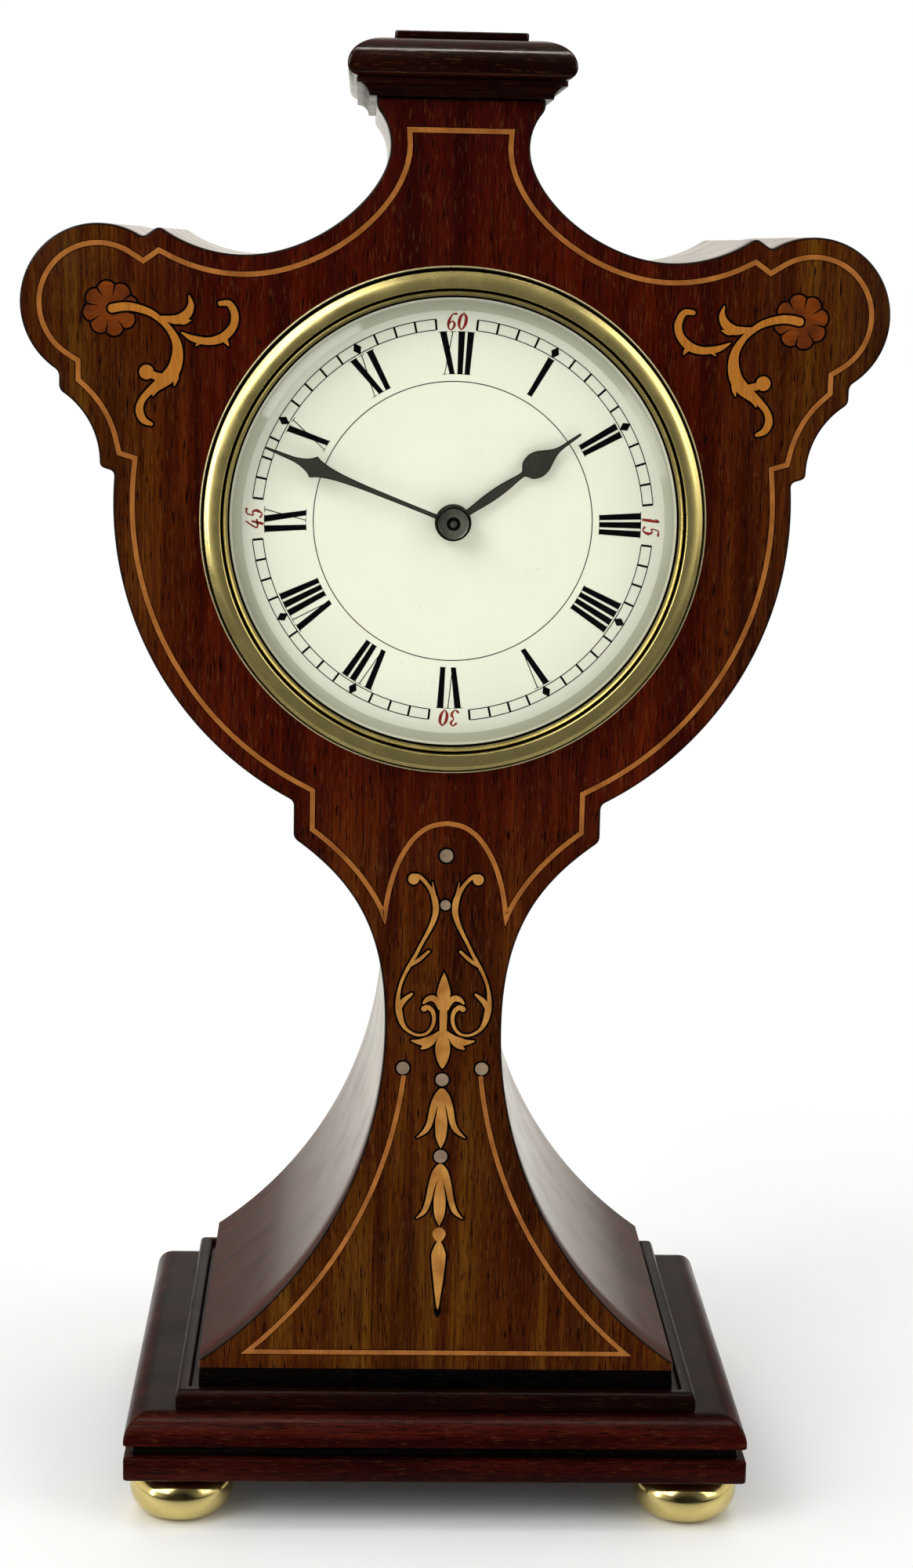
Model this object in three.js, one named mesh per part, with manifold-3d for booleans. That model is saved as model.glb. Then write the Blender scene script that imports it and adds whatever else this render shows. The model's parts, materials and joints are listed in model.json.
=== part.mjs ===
// Inlaid mahogany balloon mantel clock with a rear-wound eight-day drum movement.
// Millimetres, +Z up, the dial faces -Y, and the feet stand on z = 0.
import * as THREE from "three";
import { mergeVertices } from "three/addons/utils/BufferGeometryUtils.js";
import Module from "manifold-3d";

const wasm = await Module();
wasm.setup();

// General clearances
const SEAT = 0.1; // between pieces that rest on each other
const RUNNING = 0.1; // radial, between a shaft and the hole that it turns in
const CLEAR = 0.4; // between pieces that pass each other
const THROUGH = 1; // cutting tools beyond the faces that they pass

// Base and feet
const BASE_SIDE_OVERHANG = 12.8; // base beyond the foot of the case
const BASE_FRONT_OVERHANG = 8;
const FOOT_HEIGHT = 9;
const FOOT_RADIUS = 9.3;
const FOOT_BELLY_HEIGHT = 4.8; // widest part above the table
const FOOT_PAD_RADIUS = 4.65;
const FOOT_COLLAR_RADIUS = 6.7;
const FOOT_COLLAR_HEIGHT = 1;
const FOOT_INSET = 9.8; // slab edge to foot centre
const SLAB_HEIGHT = 4.3;
const SLAB_EASE = 0.5;
const GROOVE_HEIGHT = 2;
const GROOVE_INSET = 1.5;
const OVOLO_RADIUS = 4.4;
const OVOLO_BAND = 0.8; // upright band under the round
const PLINTH_STEP_HEIGHT = 2.4;
const PLINTH_STEP_OVERHANG = 3.9;
const PLINTH_FILLET_HEIGHT = 5.1;

// Case outline: half widths, and heights above the foot of the case or above the dial centre
const CASE_DEPTH = 72;
const FRONT_BOARD = 6;
const BACK_BOARD = 6;
const DIAL_RISE = 149.25; // foot of the case to the dial centre
const FLARE_HALF = 42.2;
const WAIST_HALF = 10.15;
const WAIST_RISE = 61.25;
const CORNER_HALF = 26.3; // step under the round body
const CORNER_DROP = 54.5; // its lower edge, below the dial centre
const CORNER_HEIGHT = 6.45;
const WAIST_EASE = 16.6; // upright run of the curve above the waist
const CORNER_EASE_IN = 11.3; // slanting run of that curve under the corner
const CORNER_EASE_DOWN = 8;
const BODY_RADIUS = 56.5;
const LEDGE_HALF = 56.7; // little ledge between the round body and the ear
const LEDGE_RISE = 7.6;
const LEDGE_WIDTH = 2.5;
const LEDGE_SLOPE = 0.75;
const EAR_COVE_RADIUS = 13.85;
const EAR_RADIUS = 13.1;
const EAR_HALF = 59.2; // centre of the ear
const EAR_RISE = 35.25;
const EAR_STEP_OUT = 6.65; // ear centre to the step under the ear
const EAR_STEP_HEIGHT = 3.1;
const NOTCH_IN = 7.2; // ear centre to the notch above it
const NOTCH_WIDTH = 2.6;
const NOTCH_HEIGHT = 1.85;
const SHOULDER_HALF = 35.6; // lowest point of the hollow shoulder
const SHOULDER_DROP = 4.35; // under the peak beside the ear
const SHOULDER_EASE = 12;
const NECK_HALF = 11.45;
const NECK_RISE = 61.8;
const NECK_EASE = 8;
const NECK_FLARE = 2.4;
const NECK_FLARE_HEIGHT = 6;
const NECK_FILLET_HEIGHT = 1.6;

// Cap, from the neck upwards
const CAP_COVE_HEIGHT = 2;
const CAP_COVE_OVERHANG = 1.25;
const CAP_FILLET_HEIGHT = 0.95;
const CAP_FILLET_OVERHANG = 3.35;
const CUSHION_OVERHANG = 4.8;
const CUSHION_BOTTOM_RADIUS = 1.8;
const CUSHION_BAND = 0.5; // upright band between its two rounds
const CUSHION_TOP_RADIUS = 4;
const PAD_HEIGHT = 1.6;
const PAD_INSET = 7.65;

// Drum, bezel, glass and dial
const DRUM_RADIUS = 39.6;
const DRUM_WALL = 0.8;
const DRUM_LENGTH = 44;
const DRUM_SHELF = 2;
const BEZEL_OVERLAP = 2.6; // bezel edge beyond the drum
const BEZEL_CROWN = 1.2; // half round above the lip
const BEZEL_LIP = 1.5; // lip that holds the glass, inside the drum wall
const BEAD_WIDTH = 0.9;
const BEAD_HEIGHT = 1.8;
const BEZEL_GROOVE = 0.45;
const GLASS_THICKNESS = 1.1;
const GLASS_RISE = 4.3;
const DIAL_THICKNESS = 1;
const DIAL_SET_BACK = 1.6; // face of the front board to the dial face

// Back of the case
const REAR_OPENING_INSET = 3; // drum radius to the rear opening
const REAR_RING_WALL = 1.1;
const REAR_RING_FLANGE = 4.5;
const REAR_RING_THICKNESS = 1.3;
const DOOR_OVERLAP = 1;
const DOOR_THICKNESS = 1.2;
const KNOB_RADIUS = 2.4;
const KNOB_LENGTH = 4;
const KNOB_NECK_RADIUS = 1.2;
const KNOB_NECK_LENGTH = 1.4;
const KNOB_EASE = 0.6;
const KNOB_INSET = 5;
const HINGE_GAP = 0.7; // ring edge to the knuckles
const HINGE_RADIUS = 1.7;
const HINGE_LAP = 2; // knuckle arms over the ring and the door
const HINGE_PIN_RADIUS = 0.8;
const KNUCKLE_LENGTH = 5;
const STRAP_WIDTH = 8;
const STRAP_THICKNESS = 1.5;
const STRAP_FOOT_LENGTH = 5;
const STRAP_SET_BACK = 5; // front board to the strap
const SCREW_RADIUS = 1;
const SCREW_HEAD_RADIUS = 1.8;
const SCREW_HEAD_HEIGHT = 1.1;
const SLOT_WIDTH = 0.5;
const SLOT_DEPTH = 0.55;

// Movement plates
const DIAL_CLEARANCE = 1; // dial back to the motion work
const PLATE_THICKNESS = 1.4;
const PLATE_GAP = 24;
const BACK_PLATE_INSET = 4.3; // inside the drum
const PILLAR_RADIUS = 2;
const PILLAR_NECK_RADIUS = 1.4;
const PILLAR_COLLAR = 4;
const PILLAR_EDGE = 3.6; // plate edge to pillar centre
const UPPER_PILLAR_ANGLES = [25, 155];
const LOWER_PILLAR_TURN = 45; // barrel to the lower pillar
const PIVOT_RADIUS = 0.35;
const ARBOR_RADIUS = 0.9;
const END_SHAKE = 0.3;

// Gears
const BARREL_TEETH = 64;
const INTERMEDIATE_TEETH = 48;
const CENTRE_TEETH = 48;
const THIRD_TEETH = 45;
const FOURTH_TEETH = 48;
const ESCAPE_TEETH = 15;
const LARGE_LEAVES = 8; // intermediate and centre pinions
const SMALL_LEAVES = 6; // third, fourth and escape pinions
const CANNON_LEAVES = 10;
const MINUTE_WHEEL_TEETH = 30;
const MINUTE_LEAVES = 8;
const HOUR_TEETH = 32;
const MOTION_MODULE = 0.5;
const WHEEL_ADDENDUM = 0.85; // in modules, as the next four are
const PINION_ADDENDUM = 0.55;
const DEDENDUM = 1.35;
const LEAF_ROOT = 0.5; // in pitches, as the next is
const LEAF_TIP = 0.18;
const RIM_WIDTH = 1.2; // wheel rim inside the teeth
const HUB_WIDTH = 1; // wheel hub beyond the pinion
const CROSSINGS = 4;
const CROSSING_HUB_TURN = 25; // half angle of a crossing, in degrees
const CROSSING_RIM_TURN = 38;
const WHEEL_THICKNESS = 0.8;
const LEVEL_STEP = 2.6; // from one wheel of the train to the next, along the arbors
const ESCAPE_RADIUS = 3.6;
const ESCAPE_TOOTH = 1;
const ESCAPE_TIP_TURN = 4; // in degrees, as the next is
const ESCAPE_HEEL_TURN = 10;

// Train layout, angles in degrees seen from the front
const BARREL_ANGLE = -110;
const BARREL_CLEARANCE = 0.9; // barrel teeth to the centre arbor
const BARREL_GAP = 4.15; // barrel teeth to the drum
const CENTRE_CLEARANCE = 1.35; // centre wheel to the intermediate arbor
const THIRD_CLEARANCE = 1.7; // third wheel to the centre arbor
const FOURTH_CLEARANCE = 1.1; // fourth wheel to the third arbor
const THIRD_ANGLE = 150;
const FOURTH_ANGLE = 45;
const ESCAPE_ANGLE = -5;
const MINUTE_WHEEL_ANGLE = 35;

// Barrel and winding work
const BARREL_WALL = 1;
const BARREL_RIM = 1.5; // teeth beyond the barrel drum
const BARREL_ARBOR_RADIUS = 2;
const SPRING_THICKNESS = 0.5;
const SPRING_TURNS = 4;
const WINDING_SQUARE = 2.6;
const SQUARE_REACH = 13; // squares behind the back plate
const RATCHET_RADIUS = 5.6;
const RATCHET_TEETH = 14;
const RATCHET_TOOTH = 0.9;
const RATCHET_FACE_TURN = 2; // lean of the locking faces, in degrees
const RATCHET_THICKNESS = 1.5;
const CLICK_ANGLE = 145; // click screw, about the barrel arbor
const CLICK_TIP_ANGLE = 95;
const CLICK_OUT = 3.6; // ratchet edge to the click screw
const CLICK_WIDTH = 2.4;
const CLICK_SLOPE = 3.2; // tapered run under its tip
const CLICK_NOSE = 0.7;
const CLICK_LIFT = 0.9; // room for the click under its spring
const CLICK_SPRING_THICKNESS = 0.5;
const CLICK_SPRING_OUT = 4; // click screw to the foot of the spring
const CLICK_SPRING_BOW = 2; // over the click at its screw
const CLICK_SPRING_SHORT = 2.1; // click tip to the end of the spring

// Hands and motion work
const HAND_THICKNESS = 0.4;
const HAND_SPACING = 1.1; // hour hand face to minute hand face
const HAND_LIFT = 1.1; // dial face to the hour hand
const MINUTE_HAND_GAP = 3.5; // tip to the lip of the bezel
const HOUR_HAND_SHORTER = 8.6; // than the minute hand
const HOUR_SPADE_DROP = 10.6; // tip to the foot of the spade
const HOUR_SPADE_HALF = 2.5;
const MINUTE_SPADE_DROP = 9.2;
const MINUTE_SPADE_HALF = 1.5;
const SPADE_LENGTH = 3; // in half widths of the spade, as the next is
const SPADE_FULLNESS = 2;
const HAND_SHAFT_HALF = 0.55;
const HAND_TIP_HALF = 0.33; // where the spade runs out into the tip
const HOUR_BOSS_RADIUS = 3.1;
const MINUTE_BOSS_RADIUS = 2.5;
const COLLET_RADIUS = 2.9;
const COLLET_HEIGHT = 0.7;
const COLLET_EASE = 0.4;
const CANNON_PIPE_RADIUS = 1.45;
const HOUR_PIPE_WALL = 0.6;
const MINUTE_STUD_RADIUS = 0.8;
const MINUTE_STUD_FLANGE = 0.8;
const HOURS_SHOWN = 1;
const MINUTES_SHOWN = 48.5;

// Platform and balance
const PLATFORM_MARGIN = 4.5; // beyond the feet of cock and bridge
const PLATFORM_CORNER = 2;
const PLATFORM_THICKNESS = 1.4;
const BALANCE_GAP = 1; // escape wheel to the balance staff
const BALANCE_ANGLE = 15;
const BALANCE_RADIUS = 7.6;
const BALANCE_RIM = 1.2;
const BALANCE_THICKNESS = 1;
const BALANCE_ARM_WIDTH = 1;
const BALANCE_ARM_THICKNESS = 0.8;
const BALANCE_LIFT = 1.6; // escape bridge to the balance
const STAFF_RADIUS = 0.6;
const STAFF_PIVOT_RADIUS = 0.25;
const HAIRSPRING_RADIUS = 4.6;
const HAIRSPRING_INNER_RADIUS = 1.4;
const HAIRSPRING_TURNS = 4;
const HAIRSPRING_THICKNESS = 0.25;
const HAIRSPRING_HEIGHT = 0.4;
const COCK_ANGLE = -35; // balance staff to the foot of the cock
const COCK_WIDTH = 4.4;
const COCK_THICKNESS = 1.2;
const COCK_LIFT = 2; // balance to the underside of the cock
const COCK_BOSS_RADIUS = 1.5;
const COCK_BOSS_HEIGHT = 1;
const HAIRSPRING_STUD_RADIUS = 0.5;
const INDEX_LENGTH = 8.5;
const INDEX_WIDTH = 0.9;
const INDEX_THICKNESS = 0.7;
const BRIDGE_WIDTH = 2.6;
const BRIDGE_THICKNESS = 0.8;
const BRIDGE_GAP = 0.7; // escape wheel to the foot of its bridge

// Facets
const ROUND = 40;
const MIDDLE_ROUND = 24;
const SMALL_ROUND = 12;
const TINY_ROUND = 8;
const SPIRAL_STEPS = 14; // per turn

// Heights of the base layers, the case and the cap
const slabBottom = FOOT_HEIGHT + SEAT;
const slabTop = slabBottom + SLAB_HEIGHT;
const grooveBottom = slabTop + SEAT;
const grooveTop = grooveBottom + GROOVE_HEIGHT;
const ovoloBottom = grooveTop + SEAT;
const ovoloTop = ovoloBottom + OVOLO_BAND + OVOLO_RADIUS;
const stepBottom = ovoloTop + SEAT;
const stepTop = stepBottom + PLINTH_STEP_HEIGHT;
const filletBottom = stepTop + SEAT;
const filletTop = filletBottom + PLINTH_FILLET_HEIGHT;
const caseBottom = filletTop + SEAT;
const dialZ = caseBottom + DIAL_RISE;
const neckTopRise = DIAL_RISE + NECK_RISE + NECK_FLARE_HEIGHT + NECK_FILLET_HEIGHT;
const neckTopHalf = NECK_HALF + NECK_FLARE;
const capBottom = caseBottom + neckTopRise + SEAT;
const baseHalfWidth = FLARE_HALF + BASE_SIDE_OVERHANG;
const baseHalfDepth = CASE_DEPTH / 2 + BASE_FRONT_OVERHANG;

// Depths, from the front board to the back door
const faceY = -CASE_DEPTH / 2;
const rearY = CASE_DEPTH / 2;
const drumInner = DRUM_RADIUS - DRUM_WALL;
const bezelRadius = DRUM_RADIUS + BEZEL_OVERLAP;
const sightRadius = drumInner - BEZEL_LIP;
const rearOpening = DRUM_RADIUS - REAR_OPENING_INSET;
const spigotRadius = rearOpening + REAR_RING_WALL;
const ringRadius = spigotRadius + REAR_RING_FLANGE;
const strapScrewRadius = spigotRadius + REAR_RING_FLANGE / 2;
const strapInner = DRUM_RADIUS + SEAT;
const strapOuter = Math.max(strapInner, strapScrewRadius + SEAT) + STRAP_THICKNESS;
const drumFront = faceY + SEAT;
const frontBoardBack = faceY + FRONT_BOARD;
const backBoardFront = rearY - BACK_BOARD;
const dialFace = faceY + DIAL_SET_BACK;
const dialBack = dialFace + DIAL_THICKNESS;
const hourLevel = dialBack + DIAL_CLEARANCE + CLEAR;
const cannonLevel = hourLevel + LEVEL_STEP;
const frontPlateFront = cannonLevel + WHEEL_THICKNESS + 3 * CLEAR;
const frontPlateBack = frontPlateFront + PLATE_THICKNESS;
const backPlateFront = frontPlateBack + PLATE_GAP;
const backPlateBack = backPlateFront + PLATE_THICKNESS;
const squareEnd = backPlateBack + SQUARE_REACH;
const ringFace = rearY + SEAT;
const ringBack = ringFace + REAR_RING_THICKNESS;
const doorFace = ringBack + SEAT;
const doorBack = doorFace + DOOR_THICKNESS;

// Levels of the train: the front face of each wheel
const fourthLevel = backPlateFront - END_SHAKE - CLEAR - WHEEL_THICKNESS;
const thirdLevel = fourthLevel - LEVEL_STEP;
const centreLevel = thirdLevel - LEVEL_STEP;
const intermediateLevel = centreLevel - LEVEL_STEP;
const barrelFront = frontPlateBack + 2 * CLEAR;
const barrelBack = intermediateLevel - 3 * CLEAR;
const hourHandFace = dialFace - HAND_LIFT - HAND_THICKNESS;
const minuteHandFace = hourHandFace - HAND_SPACING;
const colletFace = minuteHandFace - SEAT - COLLET_HEIGHT;
const platformFront = backPlateBack + SEAT;
const platformBack = platformFront + PLATFORM_THICKNESS;
const escapeLevel = platformBack + 1.5 * CLEAR;
const bridgeFace = escapeLevel + WHEEL_THICKNESS + 1.5 * CLEAR;
const balanceLevel = bridgeFace + BRIDGE_THICKNESS + BALANCE_LIFT;
const cockFace = balanceLevel + BALANCE_THICKNESS + COCK_LIFT;
const cockBack = cockFace + COCK_THICKNESS;
const indexFace = cockBack + SEAT;

const radians = THREE.MathUtils.degToRad;
const inDegrees = THREE.MathUtils.radToDeg;
const flat = (x, y) => new THREE.Vector2(x, y);
const polar = (radius, degrees, from = flat(0, 0)) =>
  flat(from.x + radius * Math.cos(radians(degrees)), from.y + radius * Math.sin(radians(degrees)));
const angleTo = (from, to) => inDegrees(to.clone().sub(from).angle());
const pitchRadius = (teeth, module) => (teeth * module) / 2;
const rootRadius = (teeth, module) => pitchRadius(teeth, module) - DEDENDUM * module;
const wheelTip = (teeth, module) => pitchRadius(teeth, module) + WHEEL_ADDENDUM * module;
const pinionTip = (leaves, module) => pitchRadius(leaves, module) + PINION_ADDENDUM * module;
const arborRadius = (leaves, module) => rootRadius(leaves, module) - SEAT;
const moduleFor = (teeth, tipRadius) => tipRadius / (teeth / 2 + WHEEL_ADDENDUM);

// Arbor centres in the plane of the dial: x to the right and z up, from the dial centre
const centre = flat(0, 0);
const barrelNear = ARBOR_RADIUS + BARREL_CLEARANCE;
const barrelTip = (drumInner - BARREL_GAP - barrelNear) / 2;
const barrelModule = moduleFor(BARREL_TEETH, barrelTip);
const barrelDistance = barrelNear + barrelTip;
const barrelCentre = polar(barrelDistance, BARREL_ANGLE);
const barrelMesh = pitchRadius(BARREL_TEETH + LARGE_LEAVES, barrelModule);
const intermediateMesh = pitchRadius(INTERMEDIATE_TEETH + LARGE_LEAVES, barrelModule);
const intermediateTurn = Math.acos(
  (barrelDistance ** 2 + intermediateMesh ** 2 - barrelMesh ** 2) / (2 * barrelDistance * intermediateMesh),
);
const intermediateAngle = BARREL_ANGLE + inDegrees(intermediateTurn);
const intermediateCentre = polar(intermediateMesh, intermediateAngle);
const intermediateArbor = arborRadius(LARGE_LEAVES, barrelModule);
const centreModule = moduleFor(CENTRE_TEETH, intermediateMesh - intermediateArbor - CENTRE_CLEARANCE);
const thirdMesh = pitchRadius(CENTRE_TEETH + SMALL_LEAVES, centreModule);
const thirdCentre = polar(thirdMesh, THIRD_ANGLE);
const thirdModule = moduleFor(THIRD_TEETH, thirdMesh - ARBOR_RADIUS - THIRD_CLEARANCE);
const fourthMesh = pitchRadius(THIRD_TEETH + SMALL_LEAVES, thirdModule);
const fourthCentre = polar(fourthMesh, FOURTH_ANGLE, thirdCentre);
const thirdArbor = arborRadius(SMALL_LEAVES, centreModule);
const fourthModule = moduleFor(FOURTH_TEETH, fourthMesh - thirdArbor - FOURTH_CLEARANCE);
const escapeMesh = pitchRadius(FOURTH_TEETH + SMALL_LEAVES, fourthModule);
const escapeCentre = polar(escapeMesh, ESCAPE_ANGLE, fourthCentre);
const balanceCentre = polar(ESCAPE_RADIUS + STAFF_RADIUS + BALANCE_GAP, BALANCE_ANGLE, escapeCentre);
const minuteMesh = pitchRadius(CANNON_LEAVES + MINUTE_WHEEL_TEETH, MOTION_MODULE);
const hourModule = (2 * minuteMesh) / (MINUTE_LEAVES + HOUR_TEETH);
const minuteCentre = polar(minuteMesh, MINUTE_WHEEL_ANGLE);
const cockFoot = polar(BALANCE_RADIUS + CLEAR + COCK_WIDTH / 2, COCK_ANGLE, balanceCentre);
const bridgeLength = ESCAPE_RADIUS + BRIDGE_GAP + BRIDGE_WIDTH / 2;
const bridgeFoot = polar(bridgeLength, BALANCE_ANGLE + 180, escapeCentre);
const platformCentre = flat((bridgeFoot.x + cockFoot.x) / 2, (escapeCentre.y + balanceCentre.y) / 2);
const clickCentre = polar(RATCHET_RADIUS + CLICK_OUT, CLICK_ANGLE, barrelCentre);
const clickSpringFoot = polar(CLICK_SPRING_OUT, CLICK_ANGLE, clickCentre);

// Closed geometry as a solid for joining and cutting
function solid(geometry) {
  const bare = geometry.clone();
  bare.deleteAttribute("normal");
  bare.deleteAttribute("uv");
  const merged = mergeVertices(bare, 1e-4);
  return new wasm.Manifold(
    new wasm.Mesh({
      numProp: 3,
      vertProperties: merged.attributes.position.array,
      triVerts: new Uint32Array(merged.index.array),
    }),
  );
}

// A joined or cut solid as geometry again
function shell(manifold) {
  const mesh = manifold.getMesh();
  const geometry = new THREE.BufferGeometry();
  geometry.setAttribute("position", new THREE.BufferAttribute(mesh.vertProperties, 3));
  geometry.setIndex(new THREE.BufferAttribute(mesh.triVerts, 1));
  geometry.computeVertexNormals();
  return geometry;
}

function join(first, ...others) {
  const whole = others.reduce((sum, piece) => sum.add(solid(piece)), solid(first));
  return shell(whole);
}

function cut(first, ...tools) {
  const rest = tools.reduce((sum, tool) => sum.subtract(solid(tool)), solid(first));
  return shell(rest);
}

// A flat outline in the plane of the dial, given depth from front to back along Y
function board(shape, front, back, curveSegments = SMALL_ROUND) {
  const options = { depth: back - front, bevelEnabled: false, curveSegments };
  const geometry = new THREE.ExtrudeGeometry(shape, options);
  geometry.rotateX(Math.PI / 2);
  return geometry.translate(0, back, 0);
}

// A profile of [radius, y] pairs turned about the Y axis, rising on its outside
function turned(profile, segments = SMALL_ROUND) {
  const points = profile.map(([radius, y]) => flat(radius, y));
  return new THREE.LatheGeometry(points, segments);
}

function rod(radius, front, back, segments = SMALL_ROUND) {
  return turned([[0, front], [radius, front], [radius, back], [0, back]], segments);
}

function tube(inner, outer, front, back, segments = SMALL_ROUND) {
  const profile = [[inner, front], [outer, front], [outer, back], [inner, back], [inner, front]];
  return turned(profile, segments);
}

function box(width, depth, height, x, y, z) {
  return new THREE.BoxGeometry(width, depth, height).translate(x, y, z);
}

// Radius of a faceted hole that clears a round shaft by the running clearance
function holeFor(radius, segments = SMALL_ROUND) {
  return (radius + RUNNING) / Math.cos(Math.PI / segments);
}

// Bore of the core, clear of the corners of the strap feet
const boreRadius = holeFor(Math.hypot(strapOuter, STRAP_WIDTH / 2) + CLEAR, ROUND);

// Points of a faceted circle
function circle(radius, place = centre, segments = SMALL_ROUND) {
  const points = [];
  for (let step = 0; step < segments; step += 1) {
    points.push(polar(radius, (360 * step) / segments, place));
  }
  return points;
}

function addHole(shape, radius, place = centre, segments = SMALL_ROUND) {
  shape.holes.push(new THREE.Path(circle(radius, place, segments)));
}

// Signs of the four corners of a rectangle, in order round it
const CORNERS = [[-1, -1], [1, -1], [1, 1], [-1, 1]];

function rectangle(middle, halfWidth, halfHeight) {
  return CORNERS.map(([x, z]) => flat(middle.x + x * halfWidth, middle.y + z * halfHeight));
}

// A rectangular block whose four sides follow one profile of [overhang, z] pairs, from the bottom up
function moulded(halfWidth, halfDepth, profile) {
  const positions = [];
  for (const [overhang, z] of profile) {
    for (const [sideX, sideY] of CORNERS) {
      positions.push(sideX * (halfWidth + overhang), sideY * (halfDepth + overhang), z);
    }
  }
  const faces = [0, 2, 1, 0, 3, 2];
  for (let ring = 0; ring < profile.length - 1; ring += 1) {
    for (let side = 0; side < 4; side += 1) {
      const low = ring * 4 + side;
      const next = ring * 4 + ((side + 1) % 4);
      faces.push(low, next, next + 4, low, next + 4, low + 4);
    }
  }
  const top = (profile.length - 1) * 4;
  faces.push(top, top + 1, top + 2, top, top + 2, top + 3);
  const geometry = new THREE.BufferGeometry();
  geometry.setAttribute("position", new THREE.Float32BufferAttribute(positions, 3));
  geometry.setIndex(faces);
  geometry.computeVertexNormals();
  return geometry;
}

// Round or oval stretch of a profile, between two directions about its centre
function roundProfile([across, along], [acrossRadius, alongRadius], from, to, steps) {
  const points = [];
  for (let step = 0; step <= steps; step += 1) {
    const turn = radians(from + ((to - from) * step) / steps);
    points.push([across + acrossRadius * Math.cos(turn), along + alongRadius * Math.sin(turn)]);
  }
  return points;
}

// Arc of an outline about a known centre
function sweep(points, middle, radius, from, to, steps) {
  for (let step = 0; step <= steps; step += 1) {
    points.push(polar(radius, from + ((to - from) * step) / steps, middle));
  }
}

// Arc of an outline from its last point to an end: bulge is 1 for a left turn and -1 for a right turn
function arcTo(points, end, radius, bulge, steps) {
  const start = points[points.length - 1];
  const chord = end.clone().sub(start);
  const left = flat(-chord.y, chord.x).normalize();
  const offset = Math.sqrt(radius ** 2 - chord.lengthSq() / 4);
  const middle = start.clone().add(end).multiplyScalar(0.5).addScaledVector(left, bulge * offset);
  const from = start.clone().sub(middle).angle();
  const to = end.clone().sub(middle).angle();
  const full = 2 * Math.PI;
  const turn = bulge > 0 ? (to - from + full) % full : -((from - to + full) % full);
  for (let step = 1; step <= steps; step += 1) {
    const angle = from + (turn * step) / steps;
    points.push(flat(middle.x + radius * Math.cos(angle), middle.y + radius * Math.sin(angle)));
  }
}

function curveTo(points, first, second, end, steps) {
  const curve = new THREE.CubicBezierCurve(points[points.length - 1], first, second, end);
  points.push(...curve.getPoints(steps).slice(1));
}

// Radius of the arc that leaves a point upright and reaches an end
const uprightRadius = (across, up) => (across ** 2 + up ** 2) / (2 * across);

// Right half of the case outline from the foot up, then the left half mirrored
function caseOutline() {
  const cornerRise = DIAL_RISE - CORNER_DROP;
  const bodyStart = flat(CORNER_HALF, cornerRise + CORNER_HEIGHT);
  const ledge = flat(LEDGE_HALF, DIAL_RISE + LEDGE_RISE);
  const ledgeEnd = flat(LEDGE_HALF + LEDGE_WIDTH, ledge.y + LEDGE_SLOPE);
  const ear = flat(EAR_HALF, DIAL_RISE + EAR_RISE);
  const stepAngle = -inDegrees(Math.acos(EAR_STEP_OUT / EAR_RADIUS));
  const notchAngle = inDegrees(Math.acos(-NOTCH_IN / EAR_RADIUS));
  const earStart = polar(EAR_RADIUS, stepAngle, ear);
  const notch = polar(EAR_RADIUS, notchAngle, ear);
  const peak = flat(notch.x - NOTCH_WIDTH, notch.y + NOTCH_HEIGHT);
  const shoulder = flat(SHOULDER_HALF, peak.y - SHOULDER_DROP);
  const neck = flat(NECK_HALF, DIAL_RISE + NECK_RISE);
  const neckTop = flat(neckTopHalf, neck.y + NECK_FLARE_HEIGHT);
  const shoulderRadius = uprightRadius(SHOULDER_DROP, peak.x - shoulder.x);

  const right = [flat(FLARE_HALF, 0)];
  arcTo(right, flat(WAIST_HALF, WAIST_RISE), uprightRadius(FLARE_HALF - WAIST_HALF, WAIST_RISE), -1, 12);
  const lowerHandle = flat(WAIST_HALF, WAIST_RISE + WAIST_EASE);
  const upperHandle = flat(CORNER_HALF - CORNER_EASE_IN, cornerRise - CORNER_EASE_DOWN);
  curveTo(right, lowerHandle, upperHandle, flat(CORNER_HALF, cornerRise), 9);
  right.push(bodyStart);
  arcTo(right, ledge, BODY_RADIUS, 1, 11);
  right.push(ledgeEnd);
  arcTo(right, flat(earStart.x, earStart.y - EAR_STEP_HEIGHT), EAR_COVE_RADIUS, -1, 5);
  sweep(right, ear, EAR_RADIUS, stepAngle, notchAngle, 14);
  right.push(peak);
  arcTo(right, shoulder, shoulderRadius, -1, 4);
  curveTo(right, flat(shoulder.x - SHOULDER_EASE, shoulder.y), flat(neck.x, neck.y - NECK_EASE), neck, 9);
  arcTo(right, neckTop, uprightRadius(NECK_FLARE, NECK_FLARE_HEIGHT), -1, 4);
  right.push(flat(neckTopHalf, neckTopRise));
  const left = right.map((point) => flat(-point.x, point.y)).reverse();
  return new THREE.Shape([...right, ...left]);
}

// Outline of pointed wheel teeth, with one tooth at the given angle
function wheelOutline(teeth, module, degrees) {
  const points = [];
  for (let tooth = 0; tooth < teeth; tooth += 1) {
    points.push(polar(wheelTip(teeth, module), degrees + (360 * tooth) / teeth));
    points.push(polar(rootRadius(teeth, module), degrees + (360 * (tooth + 0.5)) / teeth));
  }
  return new THREE.Shape(points);
}

// Wheel with a tooth towards the pinion that it meets, and crossings between its spokes
function wheelShape(teeth, module, degrees, hubRadius) {
  const shape = wheelOutline(teeth, module, degrees);
  const rim = rootRadius(teeth, module) - RIM_WIDTH;
  for (let crossing = 0; crossing < CROSSINGS; crossing += 1) {
    const middle = degrees + (360 * (crossing + 0.5)) / CROSSINGS;
    const hole = [
      polar(hubRadius, middle - CROSSING_HUB_TURN),
      polar(rim, middle - CROSSING_RIM_TURN),
      polar(rim, middle),
      polar(rim, middle + CROSSING_RIM_TURN),
      polar(hubRadius, middle + CROSSING_HUB_TURN),
    ];
    shape.holes.push(new THREE.Path(hole));
  }
  return shape;
}

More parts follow.
